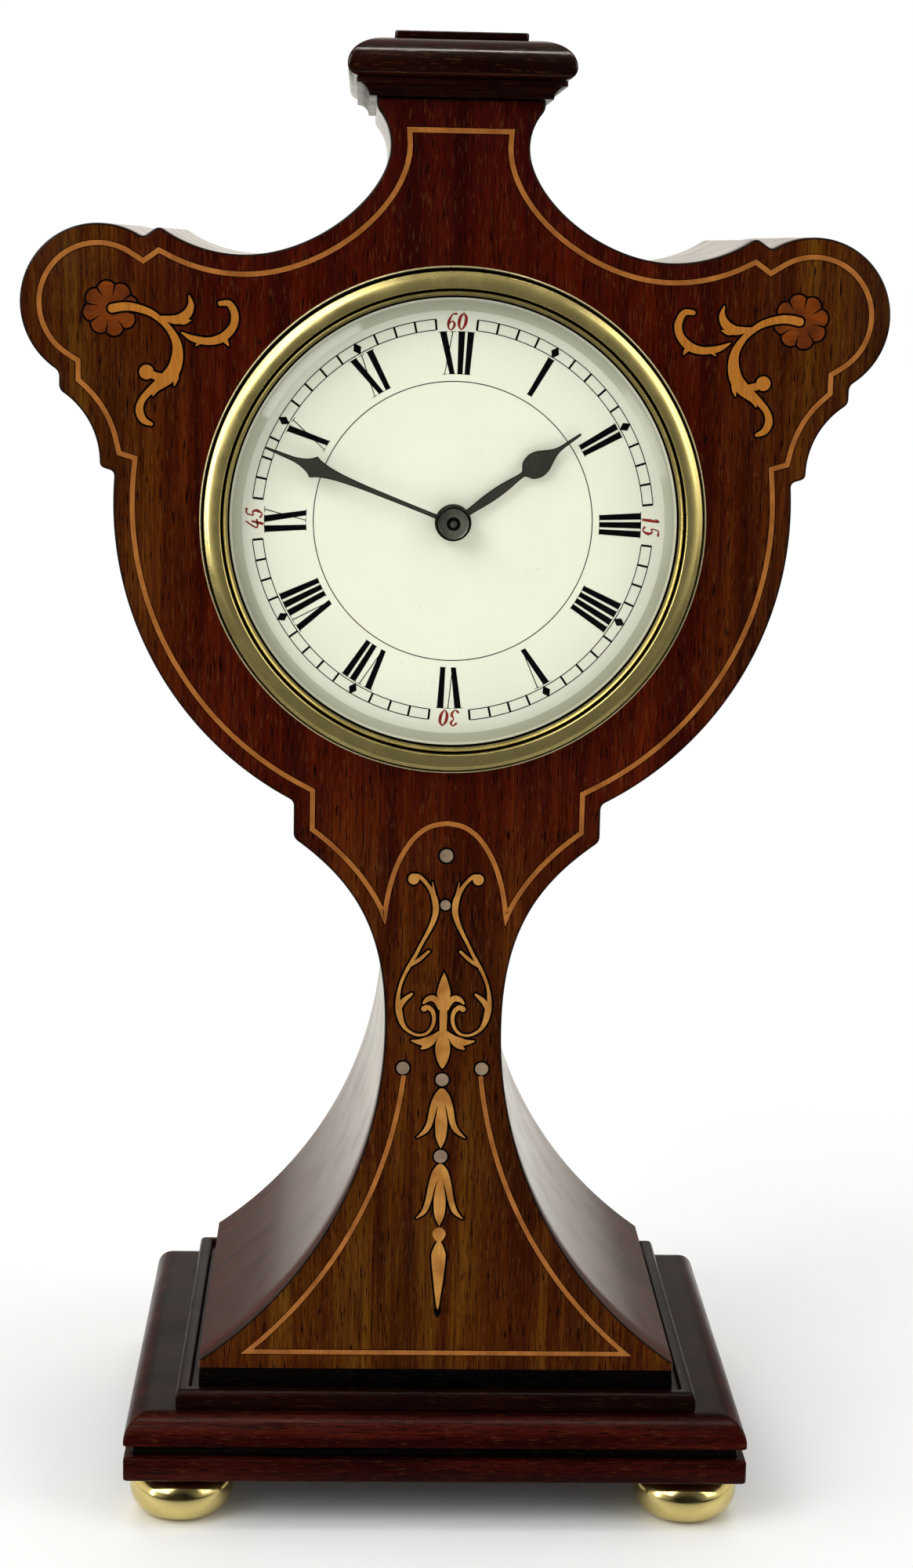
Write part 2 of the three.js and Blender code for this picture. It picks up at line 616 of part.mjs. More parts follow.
// Pinion with flat-topped leaves and a gap towards the wheel that drives it
function pinionShape(leaves, module, degrees) {
  const pitch = 360 / leaves;
  const root = rootRadius(leaves, module);
  const tip = pinionTip(leaves, module);
  const points = [];
  for (let leaf = 0; leaf < leaves; leaf += 1) {
    const middle = degrees + (leaf + 0.5) * pitch;
    points.push(polar(root, middle - (LEAF_ROOT * pitch) / 2));
    points.push(polar(tip, middle - (LEAF_TIP * pitch) / 2));
    points.push(polar(tip, middle + (LEAF_TIP * pitch) / 2));
    points.push(polar(root, middle + (LEAF_ROOT * pitch) / 2));
  }
  return new THREE.Shape(points);
}

// Arbor as thick as its pinion's root allows, with a pivot at each end
function pivoted(leaves, module, front, back, frontEnd, backEnd) {
  const radius = arborRadius(leaves, module);
  return turned([
    [0, frontEnd],
    [PIVOT_RADIUS, frontEnd],
    [PIVOT_RADIUS, front],
    [radius, front],
    [radius, back],
    [PIVOT_RADIUS, back],
    [PIVOT_RADIUS, backEnd],
    [0, backEnd],
  ], TINY_ROUND);
}

const frontPivotEnd = frontPlateFront + SEAT;
const backPivotEnd = backPlateBack - SEAT;
const arborFront = frontPlateBack + END_SHAKE;
const arborBack = backPlateFront - END_SHAKE;

// Wheel, pinion and arbor of one train piece
function trainPiece(wheel, pinion) {
  const leaves = board(
    pinionShape(pinion.leaves, pinion.module, pinion.angle),
    pinion.level - CLEAR,
    pinion.level + WHEEL_THICKNESS + CLEAR,
  );
  const hub = pinionTip(pinion.leaves, pinion.module) + HUB_WIDTH;
  const shape = wheelShape(wheel.teeth, wheel.module, wheel.angle, hub);
  const disc = board(shape, wheel.level, wheel.level + WHEEL_THICKNESS);
  const arbor = pivoted(pinion.leaves, pinion.module, arborFront, arborBack, frontPivotEnd, backPivotEnd);
  return join(disc, leaves, arbor);
}

// Flat spiral strip between two radii, ending at the given angle
function spiral(inner, outer, turns, thickness, endAngle) {
  const steps = Math.round(turns * SPIRAL_STEPS);
  const inside = [];
  const outside = [];
  for (let step = 0; step <= steps; step += 1) {
    const radius = inner + ((outer - inner) * step) / steps;
    const degrees = endAngle - 360 * turns * (1 - step / steps);
    inside.push(polar(radius - thickness / 2, degrees));
    outside.push(polar(radius + thickness / 2, degrees));
  }
  return new THREE.Shape([...outside, ...inside.reverse()]);
}

// Spade hand pointing up, with a round boss on its pipe
function spadeHand(length, spadeDrop, spadeHalf, bossRadius, pipeRadius) {
  const foot = length - spadeDrop;
  const widest = foot + spadeHalf;
  const full = foot + SPADE_FULLNESS * spadeHalf;
  const end = foot + SPADE_LENGTH * spadeHalf;
  const shaftAngle = inDegrees(Math.asin(HAND_SHAFT_HALF / bossRadius));
  const shape = new THREE.Shape();
  shape.absarc(0, 0, bossRadius, radians(90 + shaftAngle), radians(450 - shaftAngle), false);
  shape.lineTo(HAND_SHAFT_HALF, foot);
  shape.quadraticCurveTo(spadeHalf, foot, spadeHalf, widest);
  shape.quadraticCurveTo(spadeHalf, full, HAND_TIP_HALF, end);
  shape.lineTo(0, length);
  shape.lineTo(-HAND_TIP_HALF, end);
  shape.quadraticCurveTo(-spadeHalf, full, -spadeHalf, widest);
  shape.quadraticCurveTo(-spadeHalf, foot, -HAND_SHAFT_HALF, foot);
  shape.closePath();
  addHole(shape, holeFor(pipeRadius));
  return shape;
}

const MAHOGANY = { color: 0x4a1d10, roughness: 0.28, metalness: 0 };
const DARK_WOOD = { color: 0x1c0b07, roughness: 0.3, metalness: 0 };
const BRASS = { color: 0xb89a52, roughness: 0.25, metalness: 1 };
const STEEL = { color: 0x8a8d90, roughness: 0.3, metalness: 1 };
const DARK_STEEL = { color: 0x33363a, roughness: 0.4, metalness: 1 };
const ENAMEL = { color: 0xf1eee0, roughness: 0.2, metalness: 0 };
const GLASS = { color: 0xffffff, roughness: 0.02, metalness: 0, transparent: true, opacity: 0.2 };

const clock = new THREE.Group();
const movement = new THREE.Group();
movement.position.z = dialZ;
clock.add(movement);

function addPiece(parent, name, geometry, look, place = centre) {
  const mesh = new THREE.Mesh(geometry, new THREE.MeshStandardMaterial(look));
  mesh.name = name;
  mesh.position.set(place.x, 0, place.y);
  parent.add(mesh);
  return mesh;
}

// Feet: turned brass buns under the corners of the slab
function addFeet() {
  const bunTop = FOOT_HEIGHT - FOOT_COLLAR_HEIGHT;
  const lowerRadii = [FOOT_RADIUS - FOOT_PAD_RADIUS, FOOT_BELLY_HEIGHT];
  const upperRadii = [FOOT_RADIUS - FOOT_COLLAR_RADIUS, bunTop - FOOT_BELLY_HEIGHT];
  const profile = [
    [0, 0],
    ...roundProfile([FOOT_PAD_RADIUS, FOOT_BELLY_HEIGHT], lowerRadii, -90, 0, 3),
    ...roundProfile([FOOT_COLLAR_RADIUS, FOOT_BELLY_HEIGHT], upperRadii, 0, 90, 3).slice(1),
    [FOOT_COLLAR_RADIUS, FOOT_HEIGHT],
    [0, FOOT_HEIGHT],
  ];
  for (const [side, sideX] of [["left", -1], ["right", 1]]) {
    for (const [end, sideY] of [["front", -1], ["rear", 1]]) {
      const geometry = turned(profile, MIDDLE_ROUND).rotateX(Math.PI / 2);
      const mesh = addPiece(clock, `foot_${end}_${side}`, geometry, BRASS);
      mesh.position.x = sideX * (baseHalfWidth - FOOT_INSET);
      mesh.position.y = sideY * (baseHalfDepth - FOOT_INSET);
    }
  }
}

// Base: slab, recessed strip, ovolo, step and fillet
function addBase() {
  const baseHalf = [baseHalfWidth, baseHalfDepth];
  const slab = [
    [-SLAB_EASE, slabBottom],
    [0, slabBottom + SLAB_EASE],
    [0, slabTop - SLAB_EASE],
    [-SLAB_EASE, slabTop],
  ];
  addPiece(clock, "base_slab", moulded(...baseHalf, slab), MAHOGANY);
  const strip = [[-GROOVE_INSET, grooveBottom], [-GROOVE_INSET, grooveTop]];
  addPiece(clock, "base_groove_strip", moulded(...baseHalf, strip), DARK_WOOD);
  const noseMiddle = [-OVOLO_RADIUS, ovoloTop - OVOLO_RADIUS];
  const nose = roundProfile(noseMiddle, [OVOLO_RADIUS, OVOLO_RADIUS], 0, 90, 5);
  addPiece(clock, "base_ovolo", moulded(...baseHalf, [[0, ovoloBottom], ...nose]), MAHOGANY);
  const caseHalf = [FLARE_HALF, CASE_DEPTH / 2];
  const step = [[PLINTH_STEP_OVERHANG, stepBottom], [PLINTH_STEP_OVERHANG, stepTop]];
  addPiece(clock, "plinth_step", moulded(...caseHalf, step), MAHOGANY);
  addPiece(clock, "plinth_fillet", moulded(...caseHalf, [[0, filletBottom], [0, filletTop]]), DARK_WOOD);
}

// Cap: cove moulding, cushion and pad
function addCap() {
  const half = [neckTopHalf, CASE_DEPTH / 2];
  const coveRadii = [CAP_FILLET_OVERHANG - CAP_COVE_OVERHANG, CAP_COVE_HEIGHT];
  const cove = roundProfile([CAP_FILLET_OVERHANG, capBottom], coveRadii, 180, 90, 4);
  const mouldingTop = capBottom + CAP_COVE_HEIGHT + CAP_FILLET_HEIGHT;
  addPiece(clock, "cap_moulding", moulded(...half, [...cove, [CAP_FILLET_OVERHANG, mouldingTop]]), MAHOGANY);
  const cushionBottom = mouldingTop + SEAT;
  const bandBottom = cushionBottom + CUSHION_BOTTOM_RADIUS;
  const bandTop = bandBottom + CUSHION_BAND;
  const lowerMiddle = [CUSHION_OVERHANG - CUSHION_BOTTOM_RADIUS, bandBottom];
  const upperMiddle = [CUSHION_OVERHANG - CUSHION_TOP_RADIUS, bandTop];
  const cushion = [
    ...roundProfile(lowerMiddle, [CUSHION_BOTTOM_RADIUS, CUSHION_BOTTOM_RADIUS], -90, 0, 4),
    ...roundProfile(upperMiddle, [CUSHION_TOP_RADIUS, CUSHION_TOP_RADIUS], 0, 90, 6),
  ];
  addPiece(clock, "cap_cushion", moulded(...half, cushion), MAHOGANY);
  const padOverhang = CUSHION_OVERHANG - PAD_INSET;
  const padBottom = bandTop + CUSHION_TOP_RADIUS + SEAT;
  const pad = [[padOverhang, padBottom], [padOverhang, padBottom + PAD_HEIGHT]];
  addPiece(clock, "cap_pad", moulded(...half, pad), MAHOGANY);
}

// Boards and core that share the balloon outline
function addCase() {
  const dialPlace = flat(0, DIAL_RISE);
  const front = caseOutline();
  addHole(front, DRUM_RADIUS + CLEAR, dialPlace, ROUND);
  const core = caseOutline();
  addHole(core, boreRadius, dialPlace, ROUND);
  const back = caseOutline();
  addHole(back, spigotRadius + CLEAR, dialPlace, ROUND);
  for (const side of [-1, 1]) {
    const screwPlace = flat(0, DIAL_RISE + side * strapScrewRadius);
    addHole(back, holeFor(SCREW_RADIUS, TINY_ROUND), screwPlace, TINY_ROUND);
  }
  const bottom = flat(0, caseBottom);
  addPiece(clock, "front_panel", board(front, faceY, frontBoardBack), MAHOGANY, bottom);
  addPiece(clock, "case_core", board(core, frontBoardBack + SEAT, backBoardFront - SEAT), MAHOGANY, bottom);
  addPiece(clock, "back_panel", board(back, backBoardFront, rearY), MAHOGANY, bottom);
}

// Bezel with an outer bead, a broad half round and a lip over the glass
const glassSeat = faceY - 3 * CLEAR;
const glassRim = glassSeat - GLASS_THICKNESS;
const rebateRadius = drumInner - CLEAR;
function addFront() {
  const back = faceY - SEAT;
  const beadInner = bezelRadius - BEAD_WIDTH;
  const roundOuter = beadInner - BEZEL_GROOVE;
  const roundMiddle = (roundOuter + sightRadius + BEZEL_GROOVE) / 2;
  const roundHalf = (roundOuter - sightRadius - BEZEL_GROOVE) / 2;
  const lipFace = glassRim - 2 * CLEAR;
  const bezel = [
    [rebateRadius, back],
    [rebateRadius, glassRim - SEAT],
    [sightRadius, glassRim - SEAT],
    [sightRadius, lipFace],
    ...roundProfile([roundMiddle, lipFace], [roundHalf, BEZEL_CROWN], 180, 360, 5),
    [beadInner, back - BEAD_HEIGHT / 2],
    [beadInner + BEAD_WIDTH / 2, back - BEAD_HEIGHT],
    [bezelRadius, back - BEAD_HEIGHT / 2],
    [bezelRadius, back],
    [rebateRadius, back],
  ];
  addPiece(movement, "bezel", turned(bezel, ROUND), BRASS);
  const glassRadius = rebateRadius - SEAT;
  const domeRadius = sightRadius - CLEAR;
  const sphere = uprightRadius(GLASS_RISE, domeRadius);
  const domeAt = (face, radius) => face - GLASS_RISE + sphere - Math.sqrt(sphere ** 2 - radius ** 2);
  const domeRadii = [0, domeRadius / 3, (2 * domeRadius) / 3, domeRadius];
  const domeLine = (face) => domeRadii.map((radius) => [radius, domeAt(face, radius)]);
  const glass = [
    ...domeLine(glassRim),
    [glassRadius, glassRim],
    [glassRadius, glassSeat],
    ...domeLine(glassSeat).reverse(),
  ];
  addPiece(movement, "glass", turned(glass, ROUND), GLASS);
  const dialRadius = drumInner - CLEAR;
  addPiece(movement, "dial", tube(dialHole, dialRadius, dialFace, dialBack, ROUND), ENAMEL);
  const shelfFace = dialBack + SEAT;
  const shelfBack = shelfFace + DIAL_THICKNESS;
  const shelfRadius = drumInner - DRUM_SHELF;
  const drumBack = drumFront + DRUM_LENGTH;
  const drum = [
    [drumInner, drumFront],
    [DRUM_RADIUS, drumFront],
    [DRUM_RADIUS, drumBack],
    [drumInner, drumBack],
    [drumInner, shelfBack],
    [shelfRadius, shelfBack],
    [shelfRadius, shelfFace],
    [drumInner, shelfFace],
    [drumInner, drumFront],
  ];
  addPiece(movement, "movement_drum", turned(drum, ROUND), BRASS);
}

// Rear ring, hinged door and the straps that clamp drum and ring together
const hingeX = -(ringRadius + HINGE_GAP + HINGE_RADIUS);
const hingeY = rearY + CLEAR + HINGE_RADIUS;

// Upright round on the hinge axis
function knuckle(radius, length, z) {
  return rod(radius, -length / 2, length / 2).rotateX(Math.PI / 2).translate(hingeX, hingeY, z);
}

// Arm from the hinge axis to a round piece
function hingeArm(radius, front, back, z) {
  const end = HINGE_LAP - radius;
  return box(end - hingeX, back - front, KNUCKLE_LENGTH, (end + hingeX) / 2, (front + back) / 2, z);
}

function addRear() {
  const spigotFront = backBoardFront + SEAT;
  const ring = turned([
    [rearOpening, spigotFront],
    [spigotRadius, spigotFront],
    [spigotRadius, ringFace],
    [ringRadius, ringFace],
    [ringRadius, ringBack],
    [rearOpening, ringBack],
    [rearOpening, spigotFront],
  ], ROUND);
  const hingeLength = 3 * KNUCKLE_LENGTH + 2 * CLEAR;
  const pinHole = knuckle(holeFor(HINGE_PIN_RADIUS), hingeLength + 2 * THROUGH, 0);
  const lugs = [];
  const screwHoles = [];
  for (const side of [-1, 1]) {
    const middle = side * (KNUCKLE_LENGTH + CLEAR);
    lugs.push(knuckle(HINGE_RADIUS, KNUCKLE_LENGTH, middle));
    lugs.push(hingeArm(ringRadius, ringFace, ringBack, middle));
    const hole = rod(holeFor(SCREW_RADIUS), ringFace - THROUGH, ringBack + THROUGH);
    screwHoles.push(hole.translate(0, 0, side * strapScrewRadius));
  }
  addPiece(movement, "rear_ring", cut(join(ring, ...lugs), pinHole, ...screwHoles), BRASS);

  const doorRadius = rearOpening + DOOR_OVERLAP;
  const leaf = join(
    rod(doorRadius, doorFace, doorBack, ROUND),
    hingeArm(doorRadius, doorFace, doorBack, 0),
    knuckle(HINGE_RADIUS, KNUCKLE_LENGTH, 0),
  );
  addPiece(movement, "rear_door", cut(leaf, pinHole), BRASS);
  const knobFace = doorBack + SEAT;
  const knob = [
    [0, knobFace],
    [KNOB_NECK_RADIUS, knobFace],
    [KNOB_NECK_RADIUS, knobFace + KNOB_NECK_LENGTH],
    [KNOB_RADIUS, knobFace + KNOB_NECK_LENGTH + KNOB_EASE],
    [KNOB_RADIUS, knobFace + KNOB_LENGTH - KNOB_EASE],
    [KNOB_RADIUS - KNOB_EASE, knobFace + KNOB_LENGTH],
    [0, knobFace + KNOB_LENGTH],
  ];
  addPiece(movement, "door_knob", turned(knob), BRASS, flat(doorRadius - KNOB_INSET, 0));
  addPiece(movement, "door_hinge_pin", knuckle(HINGE_PIN_RADIUS, hingeLength, 0), STEEL);

  const strapBack = backBoardFront - SEAT;
  const strapFront = frontBoardBack + STRAP_SET_BACK;
  const footFront = strapBack - STRAP_FOOT_LENGTH;
  const footHalf = STRAP_THICKNESS + SEAT;
  const headFace = ringBack + SEAT;
  for (const [name, side] of [["top", 1], ["bottom", -1]]) {
    const bar = box(
      STRAP_WIDTH,
      strapBack - strapFront,
      STRAP_THICKNESS,
      0,
      (strapFront + strapBack) / 2,
      side * (strapInner + STRAP_THICKNESS / 2),
    );
    const screwZ = side * strapScrewRadius;
    const footMiddle = (footFront + strapBack) / 2;
    const foot = box(STRAP_WIDTH, STRAP_FOOT_LENGTH, 2 * footHalf, 0, footMiddle, screwZ);
    const hole = rod(holeFor(SCREW_RADIUS), footFront - THROUGH, strapBack + THROUGH);
    addPiece(movement, `strap_${name}`, cut(join(bar, foot), hole.translate(0, 0, screwZ)), BRASS);
    const screw = turned([
      [0, footFront],
      [SCREW_RADIUS, footFront],
      [SCREW_RADIUS, headFace],
      [SCREW_HEAD_RADIUS, headFace],
      [SCREW_HEAD_RADIUS, headFace + SCREW_HEAD_HEIGHT],
      [0, headFace + SCREW_HEAD_HEIGHT],
    ]);
    const slotLength = 2 * (SCREW_HEAD_RADIUS + THROUGH);
    const slot = box(slotLength, 2 * SLOT_DEPTH, SLOT_WIDTH, 0, headFace + SCREW_HEAD_HEIGHT, 0);
    addPiece(movement, `strap_screw_${name}`, cut(screw, slot), STEEL, flat(0, screwZ));
  }
}

// Movement plates with a hole for each pivot, and the pillars between them
const escapeHole = pinionTip(SMALL_LEAVES, fourthModule) + CLEAR;
const backPlateRadius = drumInner - BACK_PLATE_INSET;
const pillarAngles = [...UPPER_PILLAR_ANGLES, BARREL_ANGLE + LOWER_PILLAR_TURN];
const pillarPlaces = pillarAngles.map((degrees) => polar(backPlateRadius - PILLAR_EDGE, degrees));
function addPlates() {
  const trainPlaces = [intermediateCentre, thirdCentre, fourthCentre];
  const pivotHole = holeFor(PIVOT_RADIUS, TINY_ROUND);
  const arborHole = holeFor(ARBOR_RADIUS);
  const front = new THREE.Shape(circle(drumInner - CLEAR, centre, ROUND));
  for (const place of [...trainPlaces, escapeCentre]) {
    addHole(front, pivotHole, place, TINY_ROUND);
  }
  addHole(front, arborHole);
  addHole(front, arborHole, barrelCentre);
  const back = new THREE.Shape(circle(backPlateRadius, centre, ROUND));
  for (const place of trainPlaces) {
    addHole(back, pivotHole, place, TINY_ROUND);
  }
  addHole(back, arborHole);
  addHole(back, holeFor(BARREL_ARBOR_RADIUS), barrelCentre);
  addHole(back, escapeHole, escapeCentre);
  addPiece(movement, "front_plate", board(front, frontPlateFront, frontPlateBack), BRASS);
  addPiece(movement, "back_plate", board(back, backPlateFront, backPlateBack), BRASS);
  const pillarFront = frontPlateBack + SEAT;
  const pillarBack = backPlateFront - SEAT;
  const profile = [
    [0, pillarFront],
    [PILLAR_RADIUS, pillarFront],
    [PILLAR_RADIUS, pillarFront + PILLAR_COLLAR],
    [PILLAR_NECK_RADIUS, pillarFront + PILLAR_COLLAR],
    [PILLAR_NECK_RADIUS, pillarBack - PILLAR_COLLAR],
    [PILLAR_RADIUS, pillarBack - PILLAR_COLLAR],
    [PILLAR_RADIUS, pillarBack],
    [0, pillarBack],
  ];
  pillarPlaces.forEach((place, index) => {
    addPiece(movement, `movement_pillar_${index + 1}`, turned(profile), BRASS, place);
  });
}

// Barrel, its cover, the mainspring and the winding work
function addBarrel() {
  const drumRadius = rootRadius(BARREL_TEETH, barrelModule) - BARREL_RIM + BARREL_WALL;
  const cupInner = drumRadius - BARREL_WALL;
  const toothBack = barrelFront + 2 * WHEEL_THICKNESS;
  const floor = barrelFront + BARREL_WALL;
  const bore = holeFor(BARREL_ARBOR_RADIUS);
  const cup = turned([
    [bore, barrelFront],
    [drumRadius, barrelFront],
    [drumRadius, barrelBack],
    [cupInner, barrelBack],
    [cupInner, floor],
    [bore, floor],
    [bore, barrelFront],
  ], MIDDLE_ROUND);
  const teeth = wheelOutline(BARREL_TEETH, barrelModule, angleTo(barrelCentre, intermediateCentre));
  addHole(teeth, drumRadius - BARREL_WALL / 2, centre, MIDDLE_ROUND);
  const rim = board(teeth, barrelFront, toothBack);
  addPiece(movement, "barrel", join(cup, rim), BRASS, barrelCentre);
  const coverFront = barrelBack - BARREL_WALL;
  const coverRadius = (cupInner - SEAT) * Math.cos(Math.PI / MIDDLE_ROUND);
  const cover = tube(bore, coverRadius, coverFront, barrelBack, MIDDLE_ROUND);
  addPiece(movement, "barrel_cover", cover, BRASS, barrelCentre);
  const springFront = floor + CLEAR;
  const springBack = coverFront - CLEAR;
  const springShape = spiral(
    BARREL_ARBOR_RADIUS + 3 * CLEAR,
    cupInner - CLEAR - SPRING_THICKNESS / 2,
    SPRING_TURNS,
    SPRING_THICKNESS,
    90,
  );
  addPiece(movement, "mainspring", board(springShape, springFront, springBack), DARK_STEEL, barrelCentre);

  const ratchetFront = backPlateBack + CLEAR;
  const ratchetBack = ratchetFront + RATCHET_THICKNESS;
  const arbor = turned([
    [0, frontPivotEnd],
    [ARBOR_RADIUS, frontPivotEnd],
    [ARBOR_RADIUS, arborFront],
    [BARREL_ARBOR_RADIUS, arborFront],
    [BARREL_ARBOR_RADIUS, ratchetFront - SEAT],
    [0, ratchetFront - SEAT],
  ]);
  const squareFront = ratchetFront - 2 * SEAT;
  const squareMiddle = (squareEnd + squareFront) / 2;
  const square = box(WINDING_SQUARE, squareEnd - squareFront, WINDING_SQUARE, 0, squareMiddle, 0);
  addPiece(movement, "barrel_arbor", join(arbor, square), STEEL, barrelCentre);
  const ratchet = [];
  for (let tooth = 0; tooth < RATCHET_TEETH; tooth += 1) {
    const degrees = CLICK_TIP_ANGLE + (360 * tooth) / RATCHET_TEETH;
    ratchet.push(polar(RATCHET_RADIUS, degrees));
    ratchet.push(polar(RATCHET_RADIUS - RATCHET_TOOTH, degrees + RATCHET_FACE_TURN));
  }
  const ratchetShape = new THREE.Shape(ratchet);
  const halfSquare = WINDING_SQUARE / 2 + SEAT;
  ratchetShape.holes.push(new THREE.Path(rectangle(centre, halfSquare, halfSquare)));
  addPiece(movement, "ratchet_wheel", board(ratchetShape, ratchetFront, ratchetBack), STEEL, barrelCentre);

  const tip = polar(RATCHET_RADIUS + CLEAR, CLICK_TIP_ANGLE, barrelCentre).sub(clickCentre);
  const along = tip.clone().normalize();
  const across = flat(-along.y, along.x);
  const end = tip.length();
  const clickPoint = (run, side) => flat(run * along.x + side * across.x, run * along.y + side * across.y);
  const half = CLICK_WIDTH / 2;
  const clickShape = new THREE.Shape([
    clickPoint(-half, -half),
    clickPoint(end - CLICK_SLOPE, -half),
    clickPoint(end, 0),
    clickPoint(end - CLICK_NOSE, half),
    clickPoint(-half, half),
  ]);
  addHole(clickShape, holeFor(ARBOR_RADIUS));
  addPiece(movement, "click", board(clickShape, ratchetFront, ratchetBack), STEEL, clickCentre);
  const screwFront = backPlateBack + SEAT;
  const screw = turned([
    [0, screwFront],
    [ARBOR_RADIUS, screwFront],
    [ARBOR_RADIUS, ratchetBack + SEAT],
    [SCREW_HEAD_RADIUS, ratchetBack + SEAT],
    [SCREW_HEAD_RADIUS, ratchetBack + SCREW_HEAD_HEIGHT],
    [0, ratchetBack + SCREW_HEAD_HEIGHT],
  ]);
  addPiece(movement, "click_screw", screw, STEEL, clickCentre);
  const foot = clickSpringFoot.clone().sub(clickCentre);
  const springBow = clickPoint(0, half + CLICK_SPRING_BOW);
  const springTip = clickPoint(end - CLICK_SPRING_SHORT, half + CLICK_LIFT);
  const lower = new THREE.SplineCurve([foot, springBow, springTip]).getPoints(8);
  const upper = lower.map((point) => point.clone().addScaledVector(across, CLICK_SPRING_THICKNESS)).reverse();
  const spring = board(new THREE.Shape([...lower, ...upper]), screwFront, ratchetBack);
  addPiece(movement, "click_spring", spring, STEEL, clickCentre);
}

// Going train
function addTrain() {
  const intermediate = trainPiece(
    {
      teeth: INTERMEDIATE_TEETH,
      module: barrelModule,
      level: intermediateLevel,
      angle: angleTo(intermediateCentre, centre),
    },
    {
      leaves: LARGE_LEAVES,
      module: barrelModule,
      level: barrelFront + WHEEL_THICKNESS / 2,
      angle: angleTo(intermediateCentre, barrelCentre),
    },
  );
  addPiece(movement, "intermediate_wheel", intermediate, BRASS, intermediateCentre);
  const centrePinion = board(
    pinionShape(LARGE_LEAVES, barrelModule, angleTo(centre, intermediateCentre)),
    intermediateLevel - CLEAR,
    centreLevel,
  );
  const centreHub = pinionTip(LARGE_LEAVES, barrelModule) + HUB_WIDTH;
  const centreShape = wheelShape(CENTRE_TEETH, centreModule, angleTo(centre, thirdCentre), centreHub);
  const centreDisc = board(centreShape, centreLevel, centreLevel + WHEEL_THICKNESS);
  const bore = rod(holeFor(ARBOR_RADIUS), intermediateLevel - LEVEL_STEP, centreLevel + LEVEL_STEP);
  addPiece(movement, "centre_wheel", cut(join(centreDisc, centrePinion), bore), BRASS);
  const third = trainPiece(
    {
      teeth: THIRD_TEETH,
      module: thirdModule,
      level: thirdLevel,
      angle: angleTo(thirdCentre, fourthCentre),
    },
    {
      leaves: SMALL_LEAVES,
      module: centreModule,
      level: centreLevel,
      angle: angleTo(thirdCentre, centre),
    },
  );
  addPiece(movement, "third_wheel", third, BRASS, thirdCentre);
  const fourth = trainPiece(
    {
      teeth: FOURTH_TEETH,
      module: fourthModule,
      level: fourthLevel,
      angle: angleTo(fourthCentre, escapeCentre),
    },
    {
      leaves: SMALL_LEAVES,
      module: thirdModule,
      level: thirdLevel,
      angle: angleTo(fourthCentre, thirdCentre),
    },
  );
  addPiece(movement, "fourth_wheel", fourth, BRASS, fourthCentre);
  const points = [];
  for (let tooth = 0; tooth < ESCAPE_TEETH; tooth += 1) {
    const degrees = (360 * tooth) / ESCAPE_TEETH;
    points.push(polar(ESCAPE_RADIUS - ESCAPE_TOOTH, degrees));
    points.push(polar(ESCAPE_RADIUS, degrees + ESCAPE_TIP_TURN));
    points.push(polar(ESCAPE_RADIUS - ESCAPE_TOOTH, degrees + ESCAPE_HEEL_TURN));
  }
  const escapeDisc = board(new THREE.Shape(points), escapeLevel, escapeLevel + WHEEL_THICKNESS);
  const escapePinion = board(
    pinionShape(SMALL_LEAVES, fourthModule, angleTo(escapeCentre, fourthCentre)),
    fourthLevel - CLEAR,
    fourthLevel + WHEEL_THICKNESS + CLEAR,
  );
  const escapeArbor = pivoted(
    SMALL_LEAVES,
    fourthModule,
    arborFront,
    escapeLevel + WHEEL_THICKNESS + CLEAR,
    frontPivotEnd,
    bridgeFace + BRIDGE_THICKNESS - SEAT,
  );
  addPiece(movement, "escape_wheel", join(escapeDisc, escapePinion, escapeArbor), STEEL, escapeCentre);
}

